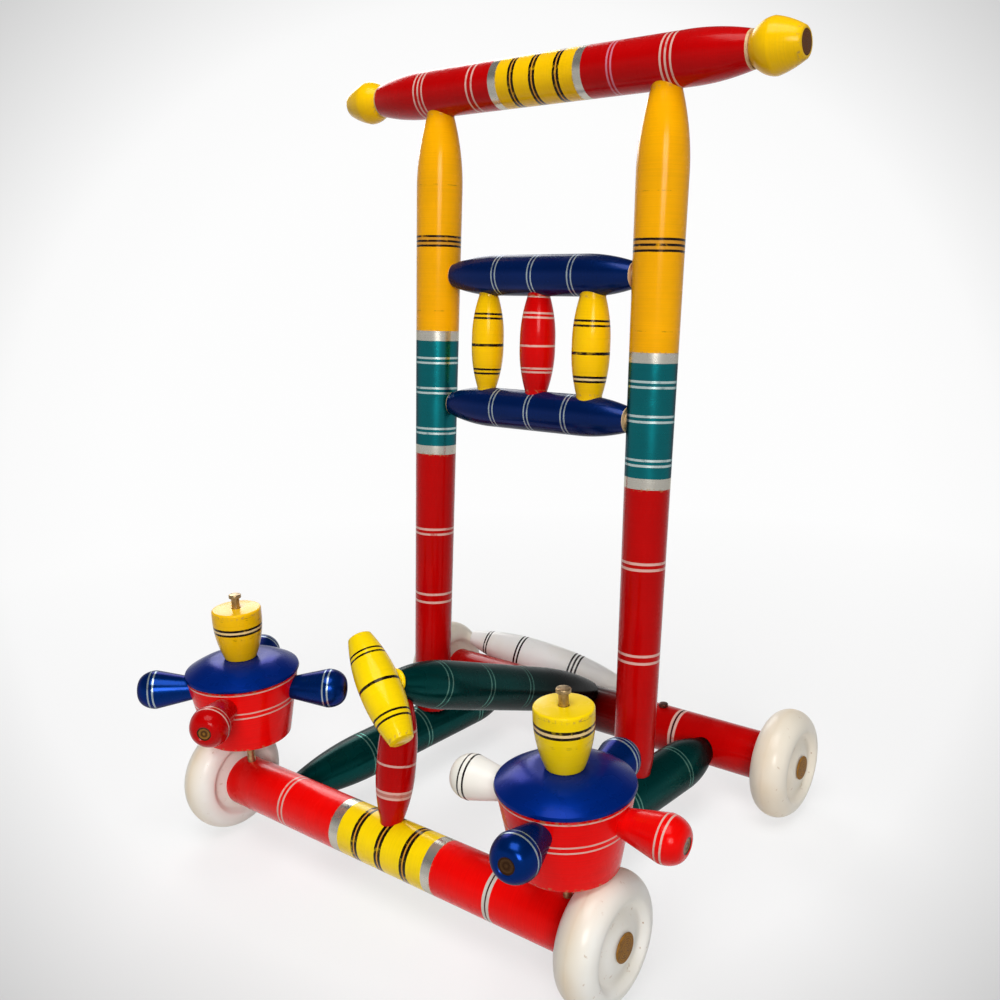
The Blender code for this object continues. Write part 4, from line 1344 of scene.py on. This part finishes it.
def floor_paint(walker):
    """A matt floor that keeps the shadows near the walker and fades into the backdrop.

    It lights the walker from below less than its own white would.
    """
    paint = Paint("floor_paint")
    paint.look(Specular_IOR_Level=0.0, Roughness=1.0)
    place = paint.add("ShaderNodeNewGeometry").outputs["Position"]
    offset = paint.vector_maths("SUBTRACT", place, walker.at(CAMERA_AT))["Vector"]
    # Painted pool of light: the floor's colour and glow fade to grey away from the camera's
    # direction
    white = pool(paint, paint.vector_maths("NORMALIZE", offset)["Vector"], FLOOR_GREY)
    seen = paint.seen()
    ground = paint.mix(seen, grey(FLOOR_BOUNCE), grey(FLOOR_WHITE))
    paint.look(Base_Color=paint.mix(1.0, white, ground, "MULTIPLY"))
    # Painted glow: seen rays get the pool as emitted white, in part near the walker and whole
    # further out
    glow = paint.feed(paint.add("ShaderNodeEmission"), Color=white, Strength=1.0)
    distance = paint.vector_maths("LENGTH", place)["Value"]
    far = paint.span(distance, *FLOOR_FADE, FLOOR_GLOW, 1)
    mixed = paint.add("ShaderNodeMixShader")
    paint.feed(mixed, Fac=paint.maths("MULTIPLY", far, seen))
    paint.plug(mixed.inputs[1], paint.shader.outputs["BSDF"])
    paint.plug(mixed.inputs[2], glow.outputs["Emission"])
    paint.feed(paint.tree.nodes["Material Output"], Surface=mixed.outputs["Shader"])
    return paint.material


def studio():
    """A white backdrop ahead of the camera in a dark room, and soft lamps round the walker."""
    world = bpy.data.worlds.new("studio")
    bpy.context.scene.world = world
    world.use_nodes = True
    nodes = Nodes(world.node_tree)
    direction = nodes.add("ShaderNodeTexCoord").outputs["Generated"]
    white = pool(nodes, direction, ROOM_GREY)
    rise = nodes.span(nodes.parts(direction)["Z"], *HORIZON_RISE, HORIZON_GREY, 0)
    wall = nodes.maths("MULTIPLY", rise, nodes.seen())
    colour = nodes.mix(1.0, white, wall, "LIGHTEN")
    nodes.feed(nodes.tree.nodes["Background"], Color=colour)
    for name, place, size, power in LAMPS:
        lamp(name, place, size, power)


def lamp(name, place, size, power):
    data = bpy.data.lights.new(name, "AREA")
    data.size = size
    data.energy = power
    obj = placed(name, data)
    obj.location = place
    obj.visible_camera = False
    obj.rotation_mode = "QUATERNION"
    obj.rotation_quaternion = (Vector(LAMP_AIM) - Vector(place)).to_track_quat("-Z", "Y")


def main():
    for obj in list(bpy.data.objects):
        bpy.data.objects.remove(obj, do_unlink=True)
    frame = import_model()
    walker = Walker(frame)
    builders = (
        beams, wheels, rails, posts, handle, crossbars, spindles, centre, spinners, rear_bar,
        camera, floor,
    )
    for build in builders:
        build(walker)
    studio()
    bpy.context.scene.view_settings.view_transform = "Standard"


main()
